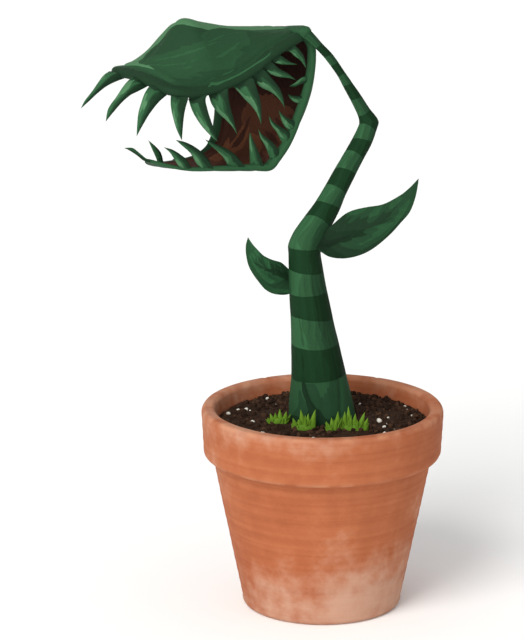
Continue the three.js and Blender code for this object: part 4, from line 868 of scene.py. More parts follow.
# ---------------------------------------------------------------- bristles
UPPER_TEETH = [
    ([[44.8, 81.8], [35.6, 88.7], [27.5, 99], [17.2, 114], [5.7, 128.9], [0, 140.4]],
     [[79.2, 89.4], [62, 94.4], [43.6, 102.9], [27.5, 115.1], [11.5, 130], [0, 140.4]], -1.5),
    ([[79.2, 91], [67.7, 103.6], [55.1, 122], [42.5, 140.4], [38.6, 160.6]],
     [[106.8, 104.1], [94.1, 110.5], [78, 118.5], [64.3, 130], [50.5, 146], [38.6, 160.6]], 0),
    ([[106.8, 104.8], [98.7, 117.4], [93, 133.5], [89, 149.5], [87.2, 168], [86.6, 183.5]],
     [[138.9, 115], [122.8, 127.7], [109, 145], [96.4, 165.6], [86.6, 183.5]], 0.8),
    ([[139.6, 115], [139.6, 133.5], [142.3, 151.8], [148, 171.3], [156.8, 190.2]],
     [[166.9, 126], [164.2, 133.5], [160.7, 147.2], [158.4, 170.2], [156.8, 190.2]], 1.6),
    ([[166.9, 126], [172.2, 142.7], [181.4, 158.7], [192.9, 173.6], [204.3, 185.1], [212.4, 191.3]],
     [[197, 117], [193.5, 126.6], [196.3, 140.4], [202, 158.7], [206.6, 172.5], [212.4, 191.3]], 2),
    ([[197.4, 117.4], [203.2, 133.5], [213.5, 147.2], [226, 158.7], [236.5, 170.2], [242.7, 181.2]],
     [[228.4, 109.4], [229.6, 122], [233, 140.4], [237.6, 158.7], [242.7, 181.2]], 2),
    ([[233.9, 103.9], [242.9, 112.5], [253.6, 125], [264.3, 135.7], [273.2, 148.2], [280, 165.2]],
     [[268.4, 95], [274, 110.7], [277.7, 123.2], [280, 139.3], [280.4, 153.6], [280, 165.2]], 2.2),
    ([[267, 97], [278.6, 107], [294.6, 114.3], [305.4, 123.2], [313.4, 134], [316.4, 140.2]],
     [[285.7, 81], [296.4, 93.8], [307, 107], [313.4, 121.4], [316.4, 140.2]], 2.4),
    ([[285, 81.5], [294.6, 87.5], [307, 91], [323.2, 92.9], [333.6, 95.9]],
     [[298, 69], [309, 78.6], [321.4, 85.7], [333.6, 95.9]], 2.4),
    ([[298, 68.5], [309, 71.4], [321.4, 72], [336, 72]],
     [[309.8, 56.8], [316, 61.6], [325, 67.5], [336, 72]], 2.4),
    ([[315.7, 51.8], [323, 51.5], [332, 59], [341, 66], [349.6, 78]],
     [[330, 40.2], [339.3, 49], [346.4, 60.7], [349.6, 78]], 2.4),
]
LOWER_TEETH = [
    ([[110, 224], [98.7, 221.4], [87.2, 212.7], [73.5, 204.2], [67, 201.2]],
     [[108, 219.4], [101, 217.4], [89.5, 208], [80.4, 201.2], [67, 201.2]], 0),
    ([[119.8, 226], [115.9, 215], [110.2, 202.3], [104.5, 189]],
     [[129, 228.6], [125, 210.4], [117, 200], [104.5, 189]], 1),
    ([[158.4, 234.3], [150.4, 227.6], [144.6, 218.4], [137.8, 208], [128.6, 200]],
     [[172.7, 234.3], [165.3, 220.7], [156, 212.7], [142.3, 204], [128.6, 200]], 0.5),
    ([[184.8, 234.8], [177.9, 223], [169.9, 209.2], [158.4, 198.9], [146.9, 188.6]],
     [[206.6, 234], [192.9, 212.7], [179, 201.2], [163, 192.7], [146.9, 188.6]], 0),
    ([[229.6, 233], [222.7, 218.4], [213.5, 208], [202, 197.8], [192.4, 187.9]],
     [[255.5, 231], [238.8, 211.5], [222.7, 201.2], [206.6, 193.6], [192.4, 187.9]], 0),
    ([[262.5, 230], [261.6, 205.4], [261.3, 189.3], [262, 175.9]],
     [[284.8, 230], [275, 205.4], [267, 187.5], [262, 175.9]], 0),
    ([[295.5, 223], [285.7, 198.2], [278.6, 185.7], [275, 171.8]],
     [[310, 214.5], [302.7, 198.2], [292.9, 188.4], [282, 180.4], [275, 171.8]], 0),
    ([[317, 200], [310.7, 191], [303.6, 176.8], [294.6, 164.3], [291.4, 150.9]],
     [[328.5, 185.5], [321.4, 175], [310.7, 168.8], [300, 161.6], [291.4, 150.9]], 0),
    ([[327, 179], [316, 167.9], [309.8, 153.6], [307, 142.9]],
     [[337, 162], [325, 156.3], [314.3, 150], [307, 142.9]], 0),
    ([[347.5, 132], [341, 132.5], [332, 130.4], [325, 125], [321.4, 117.9]],
     [[348.5, 118.5], [337.5, 120.2], [328.6, 120], [321.4, 117.9]], -0.6),
    ([[351, 99], [339.3, 103.6], [332, 106.6], [323.2, 105.7]],
     [[351, 88], [341, 92.9], [332, 100], [323.2, 105.7]], -0.6),
]
UPPER_FAR_TEETH = [
    (0.80, [-0.25, -0.90, -0.30], 5.5), (0.89, [-0.16, -0.90, -0.42], 10),
    (0.985, [-0.05, -0.90, -0.43], 10.5), (1.075, [-0.02, -0.90, -0.42], 9.5),
    (1.165, [-0.02, -0.92, -0.40], 8), (1.245, [-0.05, -0.95, -0.32], 6),
]
LOWER_FAR_TEETH = [
    (0.925, [-0.60, -0.76, -0.18], 7), (1.0, [-0.60, -0.76, -0.24], 9),
    (1.08, [-0.62, -0.76, -0.16], 9), (1.165, [-0.64, -0.76, -0.06], 8),
    (1.235, [-0.64, -0.76, 0.06], 6.5),
]
# where along each bristle its painted highlight sits, and how long it is
UPPER_GLINTS = [(0.30, 0.05), (0.36, 0.26), (0.42, 0.16), (0.55, 0.16), (0.66, 0.30), (0.62, 0.33), (0.56, 0.34), (0.48, 0.24), (0.45, 0.26), (0.36, 0.16), (0.42, 0.12)]
LOWER_GLINTS = [(0.45, 0.10), (0.80, 0.20), (0.34, 0.24), (0.30, 0.20), (0.38, 0.26), (0.70, 0.22), (0.62, 0.24), (0.60, 0.26), (0.55, 0.30), (0.60, 0.22), (0.62, 0.26)]
# tone lifted on single bristles; on the lower ones it brightens bristles that take less light: painted light
UPPER_LIFT = [0.02, 0.0, 0.02, 0.0, -0.04, 0.0, 0.0, 0.0, 0.02, 0.02, 0.02]
LOWER_LIGHT_LIFT = [0.10, 0.30, 0.05, 0.03, 0.10, 0.06, 0.03, 0.0, 0.0, 0.0, 0.02]
TOOTH_FLAT = 0.72
LIGHT_SIDE = -RIGHT + 0.15 * UPV


def bristle(name, node, centre, across, width, share, upper, seed, rim_r, glint, lift=0.0):
    """A bristle from its centre line, sideways directions and half widths; its root runs into the lobe's rolled rim."""
    rows, sides = 80, 36
    d = lengths(centre)
    t = np.linspace(0, 1, rows) ** 0.9
    c = spline(d / d[-1], centre, t)
    w = np.maximum(np.interp(t, d / d[-1], width), 0.015)
    w[-1] = 0.012
    axis = unit(np.gradient(c, axis=0))
    e1 = unit(spline(d / d[-1], across, t))
    e2 = unit(np.cross(axis, e1))
    e2 *= np.where(dots(e2, BACK) < 0, -1, 1)[:, None]
    deep = w * TOOTH_FLAT
    flush = rim_r * (0.36 + 0.34 * smooth(t, share * 0.7, share + 0.14))
    deep = deep + (np.minimum(deep, flush) - deep) * (1 - smooth(t, share, share + 0.30))
    phi = 2 * math.pi * np.arange(sides) / sides
    ridge = 1 + 0.03 * noise(phi[None] * 1.9 + seed, t[:, None] * 3.0, 0, seed) * smooth(t, 0.05, 0.3)[:, None]
    ridge = ridge + 0.02 * noise(np.cos(phi[None]) * 3, np.sin(phi[None]) * 3 + t[:, None] * 4, seed, seed + 3)
    keel = 1 + 0.16 * np.exp(-((np.cos(phi)[None] - 0.12) / 0.16) ** 2) * (np.sin(phi)[None] > 0) * smooth(t, share + 0.02, share + 0.2)[:, None]
    rings = tube(c, e1, w[:, None] * ridge, e2, deep[:, None] * ridge * keel, sides)
    rings[-1] = c[-1]
    points, faces = loft(rings)
    side = np.cos(phi)[None] + 0 * t[:, None]
    tt = t[:, None]
    feather = 0.14 * noise(side * 3 + seed, tt * 3.2, np.sin(phi)[None], seed + 5) + 0.16 * jag(tt * 9 + 0.6 * side, seed + 6)
    edge = side + feather
    tone = np.full(side.shape, 0.36 + lift)
    start = share + 0.10 + 0.10 * jag(side * 3.1, seed + 9) + 0.05 * jag(side * 7, seed + 10)
    # painted light on the side towards the light
    body = np.minimum(edge + 0.35 * (0.5 - tt) - 0.02, (tt - start) * 2)
    # painted highlight (glint)
    patch = glint[1] - np.abs(tt - glint[0]) * 0.9 - 0.42 * np.abs(edge - 0.66) + 0.09 * jag(side * 6, seed + 12) + 0.04 * jag(tt * 16, seed + 13)
    # painted highlight along the lit edge
    line = np.minimum((side - 0.91) * 1.5, (tt - start - 0.02) * 2)
    # painted shade on the side away from the light, wider towards the root
    dark = -edge - 0.46 - lift * 1.2 + 0.34 * (1 - tt) ** 1.5
    # painted shade at the root, running on from the painted shade under the lip
    root = share + 0.085 + 0.04 * jag(side * 3.3, seed + 7) + 0.03 * jag(side * 7.5, seed + 8) - 0.03 * side
    root = (root - tt) * 2 if upper else root * 0 - 1 + 0 * tt
    fibre = np.stack([np.broadcast_to(tt * d[-1] * 0.35, side.shape), side * 4 + seed, np.broadcast_to(np.sin(phi)[None] * 4, side.shape)], -1)
    fields = {"patch_%d" % (i + 1): spread(x) for i, x in enumerate((body, patch, line, dark, root))}
    put(name, points, faces, BRISTLE, [node], {"tone": spread(tone), "fibre": spread(fibre), **fields})


def make_bristles(prefix, sheet, teeth, far_teeth, upper):
    for i, (left, right, splay) in enumerate(teeth):
        mid = (np.array(left[0]) + np.array(right[0])) / 2
        angle, root = edge_near(sheet, mid[0], mid[1], -0.5 * math.pi * 0.98, math.pi * 0.98)
        l0 = trap_of(root)[1]
        steps = np.linspace(0, 1, 25)
        a, b = along(left, steps), along(right, steps)
        centre, width, across = [root], [], []
        for k, t in enumerate(steps):
            plane = trap([0, l0 + splay * t, 0])
            c = on_plane((a[k, 0] + b[k, 0]) / 2, (a[k, 1] + b[k, 1]) / 2, plane, LV)
            p, q = on_plane(a[k, 0], a[k, 1], c, BACK), on_plane(b[k, 0], b[k, 1], c, BACK)
            centre.append(c)
            width.append(norm(p - q) / 2)
            e = unit(p - q) if width[-1] > 0.12 else across[-1]
            across.append(e if not across or dots(e, across[-1]) > 0 else -e)
        q = sheet_point(sheet, *sheet_edge(sheet, np.array([angle - 0.02, angle + 0.02])))
        rim = unit(q[1] - q[0])
        rim = rim if rim @ across[0] > 0 else -rim
        width = [width[0] * (0.80 if upper else 1.1 if i == 0 else 0.45)] + width
        across = np.array([rim if upper else across[0]] + across)
        if across[6] @ LIGHT_SIDE < 0:
            across = -across
        centre = np.array(centre)
        span = lengths(centre)
        share = span[1] / span[-1]
        s_here = sheet_edge(sheet, angle)[0]
        rim_r = LOBE_RIM_R * (1 - (1 - sheet["tipThin"]) * float(smooth(s_here, 0.6, 1.0)))
        name = "%s_%02d" % (prefix, i + 1)
        bristle(name.replace("tooth", "bristle"), name, centre, across, np.array(width), share, upper, 60 + 7 * i + (0 if upper else 100), rim_r, (UPPER_GLINTS if upper else LOWER_GLINTS)[i], UPPER_LIFT[i] if upper else LOWER_LIGHT_LIFT[i])
    for i, (turn, direction, length) in enumerate(far_teeth):
        angle = turn * math.pi
        s, w = sheet_edge(sheet, angle)
        p = sheet_point(sheet, s, w)
        d = unit(FV * direction[0] + LV * direction[1] + np.array([0, 0, 1.0]) * direction[2])
        t = np.linspace(0, 1, 20)
        centre = p + d * length * t[:, None] + np.array([0, 0, -1.6]) * (t * t)[:, None]
        width = 1.75 * (1 - t) ** 0.85
        rim_r = LOBE_RIM_R * (1 - (1 - sheet["tipThin"]) * float(smooth(s, 0.6, 1.0)))
        q = sheet_point(sheet, *sheet_edge(sheet, np.array([angle - 0.02, angle + 0.02])))
        rim = unit(q[1] - q[0])
        e = unit(np.cross(unit(np.gradient(centre, axis=0)), BACK))
        e *= np.where(dots(e, LIGHT_SIDE) < 0, -1, 1)[:, None]
        rim = rim if rim @ e[0] > 0 else -rim
        turn_in = (1 - smooth(t, 0, 0.3))[:, None]
        name = "%s_%02d" % (prefix, len(teeth) + i + 1)
        bristle(name.replace("tooth", "bristle"), name, centre, unit(e * (1 - turn_in) + rim * turn_in), width, 0.1, upper, 300 + 7 * i + (0 if upper else 100), rim_r, (0.45, 0.2))


# ---------------------------------------------------------------- stalk
STEM = [
    [322, 620, 427, 620, 0], [322.3, 604, 424, 601, 0], [322.8, 591, 420, 585, -0.1], [324.5, 573, 415.5, 567, -0.4],
    [326, 556, 411, 549, -0.7], [326.2, 530, 405, 524, -1.4], [326, 502, 399, 499, -2.1],
    [325.6, 480, 394, 479, -2.8], [324.8, 459, 389.5, 458, -3.5], [323, 425, 382, 423, -4.8],
    [322, 388, 375.5, 388, -6.2], [321.6, 364, 372, 365, -7], [321.5, 351, 374, 351, -7.2],
    [329, 333, 379, 343, -6.6], [339, 318, 384, 332, -5.8], [350, 303, 390, 320, -4.8], [364, 284, 401, 298, -3], [380, 258, 409, 277, -0.8],
    [394, 233, 424.5, 246, 2.2], [410, 206, 437, 221, 5.6], [420.5, 187.5, 450.6, 196, 8.2],
    [428.5, 171.5, 459, 172, 10], [431.5, 163, 461.5, 159, 10.8], [429.5, 151, 448, 140.5, 10.9], [418.5, 127.5, 434.5, 120, 10.4],
    [406.5, 105.5, 419.5, 98, 9.8], [399, 91, 409.8, 84, 9.3], [387, 73.5, 398, 66.5, 8.5], [376.5, 60, 388, 53.5, 7.7],
    [364.5, 47.5, 375, 40, 7], [354.5, 38, 365.5, 29, 6.5], [346, 31, 356, 18.5, 6.2],
]
# Band edges in the front view, top to foot: left, middle and right point, and whether the band below is pale.
BANDS = [
    [(364, 46.5), (369, 43.5), (374, 39), 0], [(376.5, 60), (383, 58.5), (389, 55), 1],
    [(387, 73.5), (392.5, 72.5), (397, 69), 0], [(400, 90), (405.5, 88), (409, 84), 1],
    [(407, 105), (414, 104), (419.5, 100), 0], [(418, 127), (427, 125.5), (434.5, 121.5), 1],
    [(429, 150.6), (439, 149.5), (447, 139.5), 0], [(432, 165), (444, 164.5), (455, 176), 1],
    [(420.5, 187.5), (434, 186), (450.6, 193), 0], [(410, 206), (421, 205), (436, 222), 1],
    [(394, 233), (407, 231), (424.5, 244), 0], [(380, 258), (390, 257), (409, 276), 1],
    [(364, 284), (377, 283), (400, 297), 0], [(346.5, 308), (362, 304.5), (383, 327.5), 1],
    [(321.6, 354.5), (347, 360), (372, 355), 0], [(322, 386), (350, 397), (376, 392), 1],
    [(323, 424), (350, 433), (382, 421), 0], [(324, 458), (354, 470.5), (391, 466), 1],
    [(326, 502), (360, 515.5), (399, 500.6), 0], [(326, 556), (360, 567), (411, 549), 1],
]
FOLDS = [  # folds in the foot, darkened with painted shade: rows of [u, v, half width], depth of the groove in mm
    ([[344, 562, 0.4], [346, 576, 1.8], [350, 590, 3.0], [355, 604, 5.5], [361, 618, 9], [364, 636, 13]], 0.50),
    ([[402, 556, 1.2], [403, 580, 1.6], [404, 600, 2.2], [402, 622, 3]], 0.30),
    ([[333, 508, 0.4], [334, 530, 1.0], [336, 552, 0.4]], 0.15),
    ([[341, 510, 0.4], [343, 532, 1.6], [345, 560, 0.8]], 0.25),
    ([[338, 462, 0.4], [340, 478, 1.2], [343, 500, 1.6], [345, 512, 0.6]], 0.25),
]


# Regions of the foot, as the front view shows them: painted half shade in the middle, painted shade on the right side,
# painted shade in the hollow.
FOOT_HALF_SHADE = [
    [[346.7, 567.8], [361, 567], [365.6, 573], [369, 580], [372, 591], [374.4, 586.7], [376.7, 591], [378.4, 579], [382.2, 584.4], [381, 572], [384.4, 574.4],
     [385.6, 564.4], [400, 555], [403.3, 580], [401, 593], [404.4, 609], [403.3, 636], [358.9, 636], [354.4, 593]],
    [[337.5, 575.6], [340, 576.7], [342.2, 586.7], [346.7, 595.6], [350, 609], [347, 622], [330, 622], [322, 617], [325.6, 614.5], [331, 609], [336, 603], [337.2, 590]],
]
FOOT_SHADE = [[400, 553], [414, 546], [432, 636], [403, 636], [401, 624], [404.4, 609], [401.6, 593], [403.8, 580]]
FOOT_HOLLOW_SHADE = [[341.5, 564], [346.7, 566], [350, 578], [355.6, 593], [365.6, 605.6], [371, 608], [374.4, 615.6], [381, 623], [386.7, 622], [391, 615.6], [394.4, 620],
             [402, 626], [403, 640], [318, 640], [318, 617], [330, 616], [336.7, 618], [347.8, 617.8], [350.4, 609], [346.7, 593], [342.2, 580]]


def make_stem():
    rows = np.array(STEM, float)
    p, q = at(rows[:, 0], rows[:, 1], rows[:, 4]), at(rows[:, 2], rows[:, 3], rows[:, 4])
    c, h = (p + q) / 2, (q - p) / 2
    foot, r0 = c[0], norm(h[0])
    root = [(-FOOT_DEPTH, 0.55), (-FOOT_DEPTH * 0.65, 0.8), (-FOOT_DEPTH * 0.25, 0.95)]
    c = np.concatenate([[foot + [0, 0, dz] for dz, _ in root], c])
    h = np.concatenate([[RIGHT * r0 * k for _, k in root], h])
    d = lengths(c)
    count, sides = 640, 112
    # rings evenly spaced along the stalk
    t = np.linspace(0, d[-1], count)
    centre, half = spline(d, c, t), spline(d, h, t)
    # the top runs on a little into the trap's rib
    axis = unit(np.gradient(centre, axis=0))
    for _ in range(6):
        axis[1:-1] = unit(axis[:-2] + 2 * axis[1:-1] + axis[2:])
    r = norm(half)
    e1 = half / r[:, None]
    e2 = -unit(np.cross(axis, e1))
    phi = 2 * math.pi * np.arange(sides) / sides
    plain = tube(centre, e1, r, e2, r, sides)
    pu, pv = outline(plain)
    front = np.sin(phi)[None] + 0 * t[:, None]
    above = t - d[3]  # mm above the soil line
    # where each band edge crosses the left side, the front and the right side
    quarter, left, right = sides // 4, sides // 2, 0

    def station(column, point):
        dist = np.hypot(pu[:, column] - point[0], pv[:, column] - point[1])
        return t[int(np.argmin(dist))]

    band = None
    for a, m, b, pale in BANDS[::-1]:
        tl, tf, tr = station(left, a), station(quarter, m), station(right, b)
        c0 = (tl + tr) / 2
        edge = t[:, None] - (c0 + (tr - tl) / 2 * np.cos(phi)[None] + (tf - c0) * np.sin(phi)[None])
        if band is None:
            foot_edge = edge
            band = np.where(pale, -1, 1) * edge  # above this edge the band is the other kind
        else:
            value = np.where(pale, -1, 1) * edge
            band = np.where(edge > 0, value, np.where(np.abs(edge) < np.abs(band), value, band))
    streak = 0.6 * noise(phi[None] * 2.4 + 0.5 * noise(t[:, None] * 0.08, 1.0, 0, 71), t[:, None] * 0.045, 0, 72)
    streak = streak + 0.35 * noise(phi[None] * 6.5, t[:, None] * 0.07, 0, 73) + 0.2 * noise(phi[None] * 15, t[:, None] * 0.12, 0, 74)
    lit = np.cos(phi - math.radians(155))[None] + 0.22 * streak + 0.10 * jag(t[:, None] * 0.5 + phi[None], 84)
    tone = 0.5 + 0 * lit
    thin = 1.1 * noise(phi[None] * 8 + 0.7 * jag(t[:, None] * 0.35, 83), t[:, None] * 0.045, 0, 79) + 0.25 * jag(phi[None] * 17 + 0 * t[:, None], 80)
    dent = np.zeros_like(tone)
    faint, deep = tone * 0 - 6, tone * 0 - 6
    for path, depth in FOLDS:
        f = stroke(pu, pv, path) + 0.8 * noise(pu / 4, pv / 12, 0, 75)
        seen = np.where(front > -0.1, f * 0.25, -6)
        if depth > 0.4:
            deep = np.maximum(deep, seen)
        else:
            faint = np.maximum(faint, seen)
        dent = dent + depth * smooth(f, -3.0, 3.0) * (front > -0.1) * smooth(front, -0.1, 0.3)
    # patch_1 to patch_3: painted light on the side towards the light and painted shade on the side away; patch_4 and
    # patch_5: light and dark streaks; patch_6 and patch_7: painted shade in the folds
    fields = {"patch_1": np.where(band > 0, lit - 0.76, -1.0), "patch_2": -lit + 0.08, "patch_3": -lit - 0.50, "patch_4": thin - 0.50, "patch_5": -thin - 0.53,
              "patch_6": faint, "patch_7": deep}
    # on the foot's front the painted light and shade come from the foot regions instead
    painted = (foot_edge < 0) & (front > 0.0)
    middle = np.maximum(within(pu, pv, FOOT_HALF_SHADE[0]), within(pu, pv, FOOT_HALF_SHADE[1]))
    shaded, hollow = within(pu, pv, FOOT_SHADE), within(pu, pv, FOOT_HOLLOW_SHADE)
    ragged = 0.5 * noise(pu / 2.2, pv / 6, 0, 85)
    for key, value in (("patch_1", -6 + 0 * tone), ("patch_2", (middle + ragged) * 0.25), ("patch_3", (shaded + ragged) * 0.25),
                       ("patch_4", -6 + 0 * tone), ("patch_5", -6 + 0 * tone), ("patch_6", -6 + 0 * tone), ("patch_7", (hollow + ragged) * 0.25)):
        fields[key] = np.where(painted, value, fields[key])
    # fluted skin, strongest at the foot
    flare = 1 - smooth(above, 2, 26)
    flute = 0.10 + 0.42 * flare
    ribs = noise(phi[None] * 2.9 + 0.4 * noise(t[:, None] * 0.1, 3.0, 0, 76), t[:, None] * 0.03, 0, 77)
    ribs = np.minimum(ribs, 0.15) - 0.15 * (1 + 0 * t[:, None])
    small = noise(phi[None] * 9, t[:, None] * 0.16, 0, 78)
    radius = r[:, None] + flute[:, None] * ribs * (1 - 0.75 * np.abs(np.cos(phi))[None] ** 3) + 0.05 * small - dent
    knuckle = 0.22 * np.exp(-((band) / 0.35) ** 2)
    radius = radius - 0.05 * knuckle
    radius = np.maximum(radius, r[:, None] * 0.7)
    rings = tube(centre, e1, radius, e2, radius, sides)
    points, faces = loft(rings)
    fibre = np.stack([np.broadcast_to(t[:, None] * 0.35, tone.shape), np.broadcast_to(phi[None] * 4, tone.shape), np.broadcast_to(np.sin(phi)[None] * 2, tone.shape)], -1)
    fibre[..., 1] = np.cos(phi)[None] * 6
    fibre[..., 2] = np.sin(phi)[None] * 6
    put("stalk", points, faces, STALK, ["stem"], {"tone": spread(tone), "band": spread(band), "fibre": spread(fibre), **{key: spread(x) for key, x in fields.items()}})


# ---------------------------------------------------------------- leaves
LEAF_RIGHT = {
    "lower": [[360, 352], [366, 357], [372, 362], [386, 370], [405, 372.6], [423, 370], [442, 363], [460, 352], [480, 335],
              [496, 317], [510, 300], [519, 277], [523, 256], [523.7, 248.4]],
    "upper": [[362, 342], [370, 340], [376, 337], [382.5, 328], [394, 317], [410, 304], [425, 297.5], [444, 293], [470, 288],
              [496, 274.5], [510, 263], [519, 253.5], [523.7, 248.4]],
    "depth": [-9.4, -11, -13.5, -15, -14], "lean": 0.62, "cup": 0.2, "lift": 0.0,
    "dark": [[[364.2, 349], [375.7, 337.3], [382, 343.6], [387.2, 344.6], [404, 339.4], [420.7, 334.7], [416.5, 339.4], [401.8, 345.6],
              [391.4, 351], [381, 360.3], [371.5, 360.5], [364, 355]]],
    "dim": [[[376, 336], [383, 328], [395.6, 328.9], [394.5, 332.6], [416.5, 329], [442.6, 327.3], [437, 332], [446, 335], [436, 338.5], [420, 340.5],
             [421, 344], [412, 347.5], [400, 348.5], [388, 355], [398, 364], [412, 369], [430, 366], [400, 373], [380, 366], [366, 354]]],
    "mid": [[[377, 334], [392, 318], [410, 305], [412.5, 306.5], [408, 314], [422, 305.5], [413, 318], [418, 318], [436, 304], [431, 312.5], [446.5, 307], [443, 315],
             [446, 318], [452, 316.5], [461, 309], [472.5, 297], [471, 303], [480, 300], [500, 280.5], [489, 293], [477, 309.5], [470, 314],
             [484, 309.5], [474, 316], [460, 321], [443, 327], [436, 333], [446, 335], [436, 339], [420, 341], [421, 344], [412, 347.5], [400, 348], [404, 353], [416, 357], [436, 359], [430, 363.5],
             [470, 340], [494, 314], [506, 298], [495, 320], [478, 338], [460, 354], [440, 366], [405, 375], [380, 368], [364, 355]]],
    "light": [[[413, 303], [426, 297], [444, 292], [458, 290], [444, 295], [434, 303], [428, 305], [418, 306]],
              [[452, 308], [448, 311], [446.5, 306], [456, 294], [468, 290.5], [466, 298], [458, 306]],
              [[478, 296], [479, 287], [494, 275.5], [500, 279], [490, 290], [482, 295.5]],
              [[492, 297], [510, 278.5], [511, 284], [504, 300], [494, 318], [480, 332], [470, 338], [487, 318], [486, 310], [494, 301]],
              [[450, 322], [470, 319], [486, 316], [484, 321], [466, 336], [446, 346], [434, 352.5], [426, 351], [440, 347], [452, 340], [452, 334], [463, 327]]],
}
LEAF_LEFT = {
    "lower": [[330, 423], [323, 427.5], [313, 429], [299, 427], [287, 420.5], [277, 410], [267.5, 397], [260.5, 383],
              [256.5, 366.5], [256, 353], [259.3, 339.5]],
    "upper": [[329, 393], [322, 389], [317, 384], [310, 379], [295, 374], [282, 367], [271, 356], [264, 347], [259.3, 339.5]],
    # lift raises this leaf's tone against the shade it lies in: painted light
    "depth": [-4.2, -7.2, -10, -11, -9.5], "lean": 0.62, "cup": 0.2, "lift": 0.05,
    "dark": [[[330, 402], [318, 397], [305, 391], [312, 400], [322, 408], [330, 413]]],
    "dim": [[[330, 398], [316, 393], [300, 388.5], [286, 389], [284, 391.5], [298, 395], [296, 398], [306, 400], [314, 404], [322, 412], [330, 417]],
            [[330, 430], [318, 426], [304, 426], [312, 431]]],
    "mid": [[[328, 392], [322, 386], [318, 382], [322, 391], [314, 384.5], [308, 380], [311, 386], [300, 380.5], [303, 387], [292, 376.5], [296, 391], [288, 388], [284, 379], [281, 370.5], [283, 380],
             [273, 366], [277, 376], [284, 385], [272, 380], [266.5, 378], [278, 387], [292, 393], [302, 398], [316, 404], [308, 409.5], [296, 413], [286, 411], [300, 419], [322, 421], [330, 424]]],
    "light": [[[283, 371], [289, 374], [295, 380], [298, 388], [294, 390], [288, 384]],
              [[269, 357], [276, 364], [279, 372], [275, 375], [270, 364]],
              [[262, 362], [268, 366], [272, 370], [269, 376], [273, 382], [286, 389], [290, 393], [291, 402], [301, 408], [296, 412], [285, 407], [274, 395], [266, 380], [261, 370]],
              [[304, 381], [312, 384], [318, 393], [310, 389]]],
}


def make_leaf(name, node, leaf, seed, look):
    rows, cols = 220, 85
    t = 1 - (1 - np.linspace(0, 1, rows)) ** 1.15
    t[-1] = 1
    x = np.sin(np.linspace(-1, 1, cols) * math.pi / 2)
    knots = np.linspace(0, 1, len(leaf["depth"]))
    a, b, y = along(leaf["lower"], t), along(leaf["upper"], t), spline(knots, leaf["depth"], t)
    half = norm(at(a[:, 0], a[:, 1], y) - at(b[:, 0], b[:, 1], y)) / 2
    lo, hi = at(a[:, 0], a[:, 1], y - half * leaf["lean"]), at(b[:, 0], b[:, 1], y + half * leaf["lean"])
    c, w = (lo + hi) / 2, (hi - lo) / 2

    def mid(s):
        p, q = along(leaf["lower"], s), along(leaf["upper"], s)
        return at((p[:, 0] + q[:, 0]) / 2, (p[:, 1] + q[:, 1]) / 2, spline(knots, leaf["depth"], s))

    axis = unit(mid(np.minimum(1, t + 0.03)) - mid(np.maximum(0, t - 0.03)))
    n = unit(np.cross(axis, w + 1e-9))
    n *= np.where(dots(n, BACK) < 0, -1, 1)[:, None]
    n[-1] = n[-2]
    for _ in range(8):
        n[1:-1] = unit(n[:-2] + 2 * n[1:-1] + n[2:])
    length = lengths(c)[-1]
    xm = half[:, None] * x[None]
    wide = half[:, None] + 0 * x[None]
    grow = smooth(t, 0.0, 0.12)[:, None]
    wave = 0.025 * wide * x[None] ** 2 * np.sin(2 * math.pi * (t[:, None] * 2.6 + 0.2 * np.sign(x[None])) + seed) * grow * smooth(1 - t, 0.0, 0.2)[:, None]
    sheet = c[:, None] + w[:, None] * x[None, :, None] + n[:, None] * (wave - leaf["cup"] * half[:, None] * (1 - x[None] ** 2))[..., None]
    vein = (t[:, None] * length - 0.85 * np.abs(xm)) / 2.5
    vein = np.abs(vein - np.round(vein)) * 2.5
    side_vein = np.exp(-(vein / 0.28) ** 2) * smooth(np.abs(x[None]), 0.04, 0.2) * (1 - smooth(np.abs(x[None]), 0.75, 0.98))
    main_vein = np.exp(-(xm / (0.34 + 0.30 * (1 - t[:, None]))) ** 2)
    taper = ((1 - t) ** 0.35)[:, None]
    thin = (0.16 + 0.34 * (1 - np.abs(x[None]) ** 1.6)) * taper
    top = thin - (0.20 * main_vein + 0.06 * side_vein) * taper * grow
    under = thin * 1.25 + (0.45 * main_vein * (1 - 0.6 * t[:, None]) + 0.07 * side_vein) * taper
    top = top + 0.06 * fractal(xm * 0.8, t[:, None] * length * 0.35, 0, seed) * grow
    front, behind = sheet + n[:, None] * top[..., None], sheet - n[:, None] * under[..., None]
    rings = np.concatenate([front, behind[:, ::-1]], 1)
    rings[-1] = c[-1]
    points, faces = loft(rings)
    u, v = outline(front)
    warp = 1.2 * noise(u / 5, v / 3, 0, seed + 1) + 0.6 * noise(u / 2, v / 1.6, 0, seed + 2)
    regions = [np.max([within(u, v, region) for region in leaf[key]], 0) + 0.25 * warp for key in ("light", "mid", "dim", "dark")]
    tone = leaf["lift"] + 0.05 * side_vein - 0.04 * main_vein
    spread_out = 0.55 * (1 - t[:, None]) + 0.06
    feather = 0.5 * noise(vein * 1.2, np.abs(xm) * 0.4, 0, seed + 4) + 0.3 * noise(t[:, None] * length / 1.4 - np.abs(xm), np.abs(xm) * 0.5, 0, seed + 5)
    back = (spread_out - np.abs(x[None]) + 0.22 * feather) * 8
    both = np.concatenate([tone, tone[:, ::-1] + 0.12 * main_vein[:, ::-1]], 1)
    none = np.full(u.shape, -6.0)
    behind_fields = [none, back[:, ::-1], none, none]
    fields = {"patch_%d" % (i + 1): spread(np.concatenate([r, q], 1)) for i, (r, q) in enumerate(zip(regions, behind_fields))}
    along_f = np.broadcast_to(t[:, None] * length * 0.5 - 0.5 * np.abs(xm), xm.shape)
    grain = np.stack([along_f, xm * 0.9 + seed, 0 * xm], -1)
    fibre = np.concatenate([grain, grain[:, ::-1] + [0, 0, 7]], 1)
    put(name, points, faces, look, [node], {"tone": spread(both), "fibre": spread(fibre), **fields})


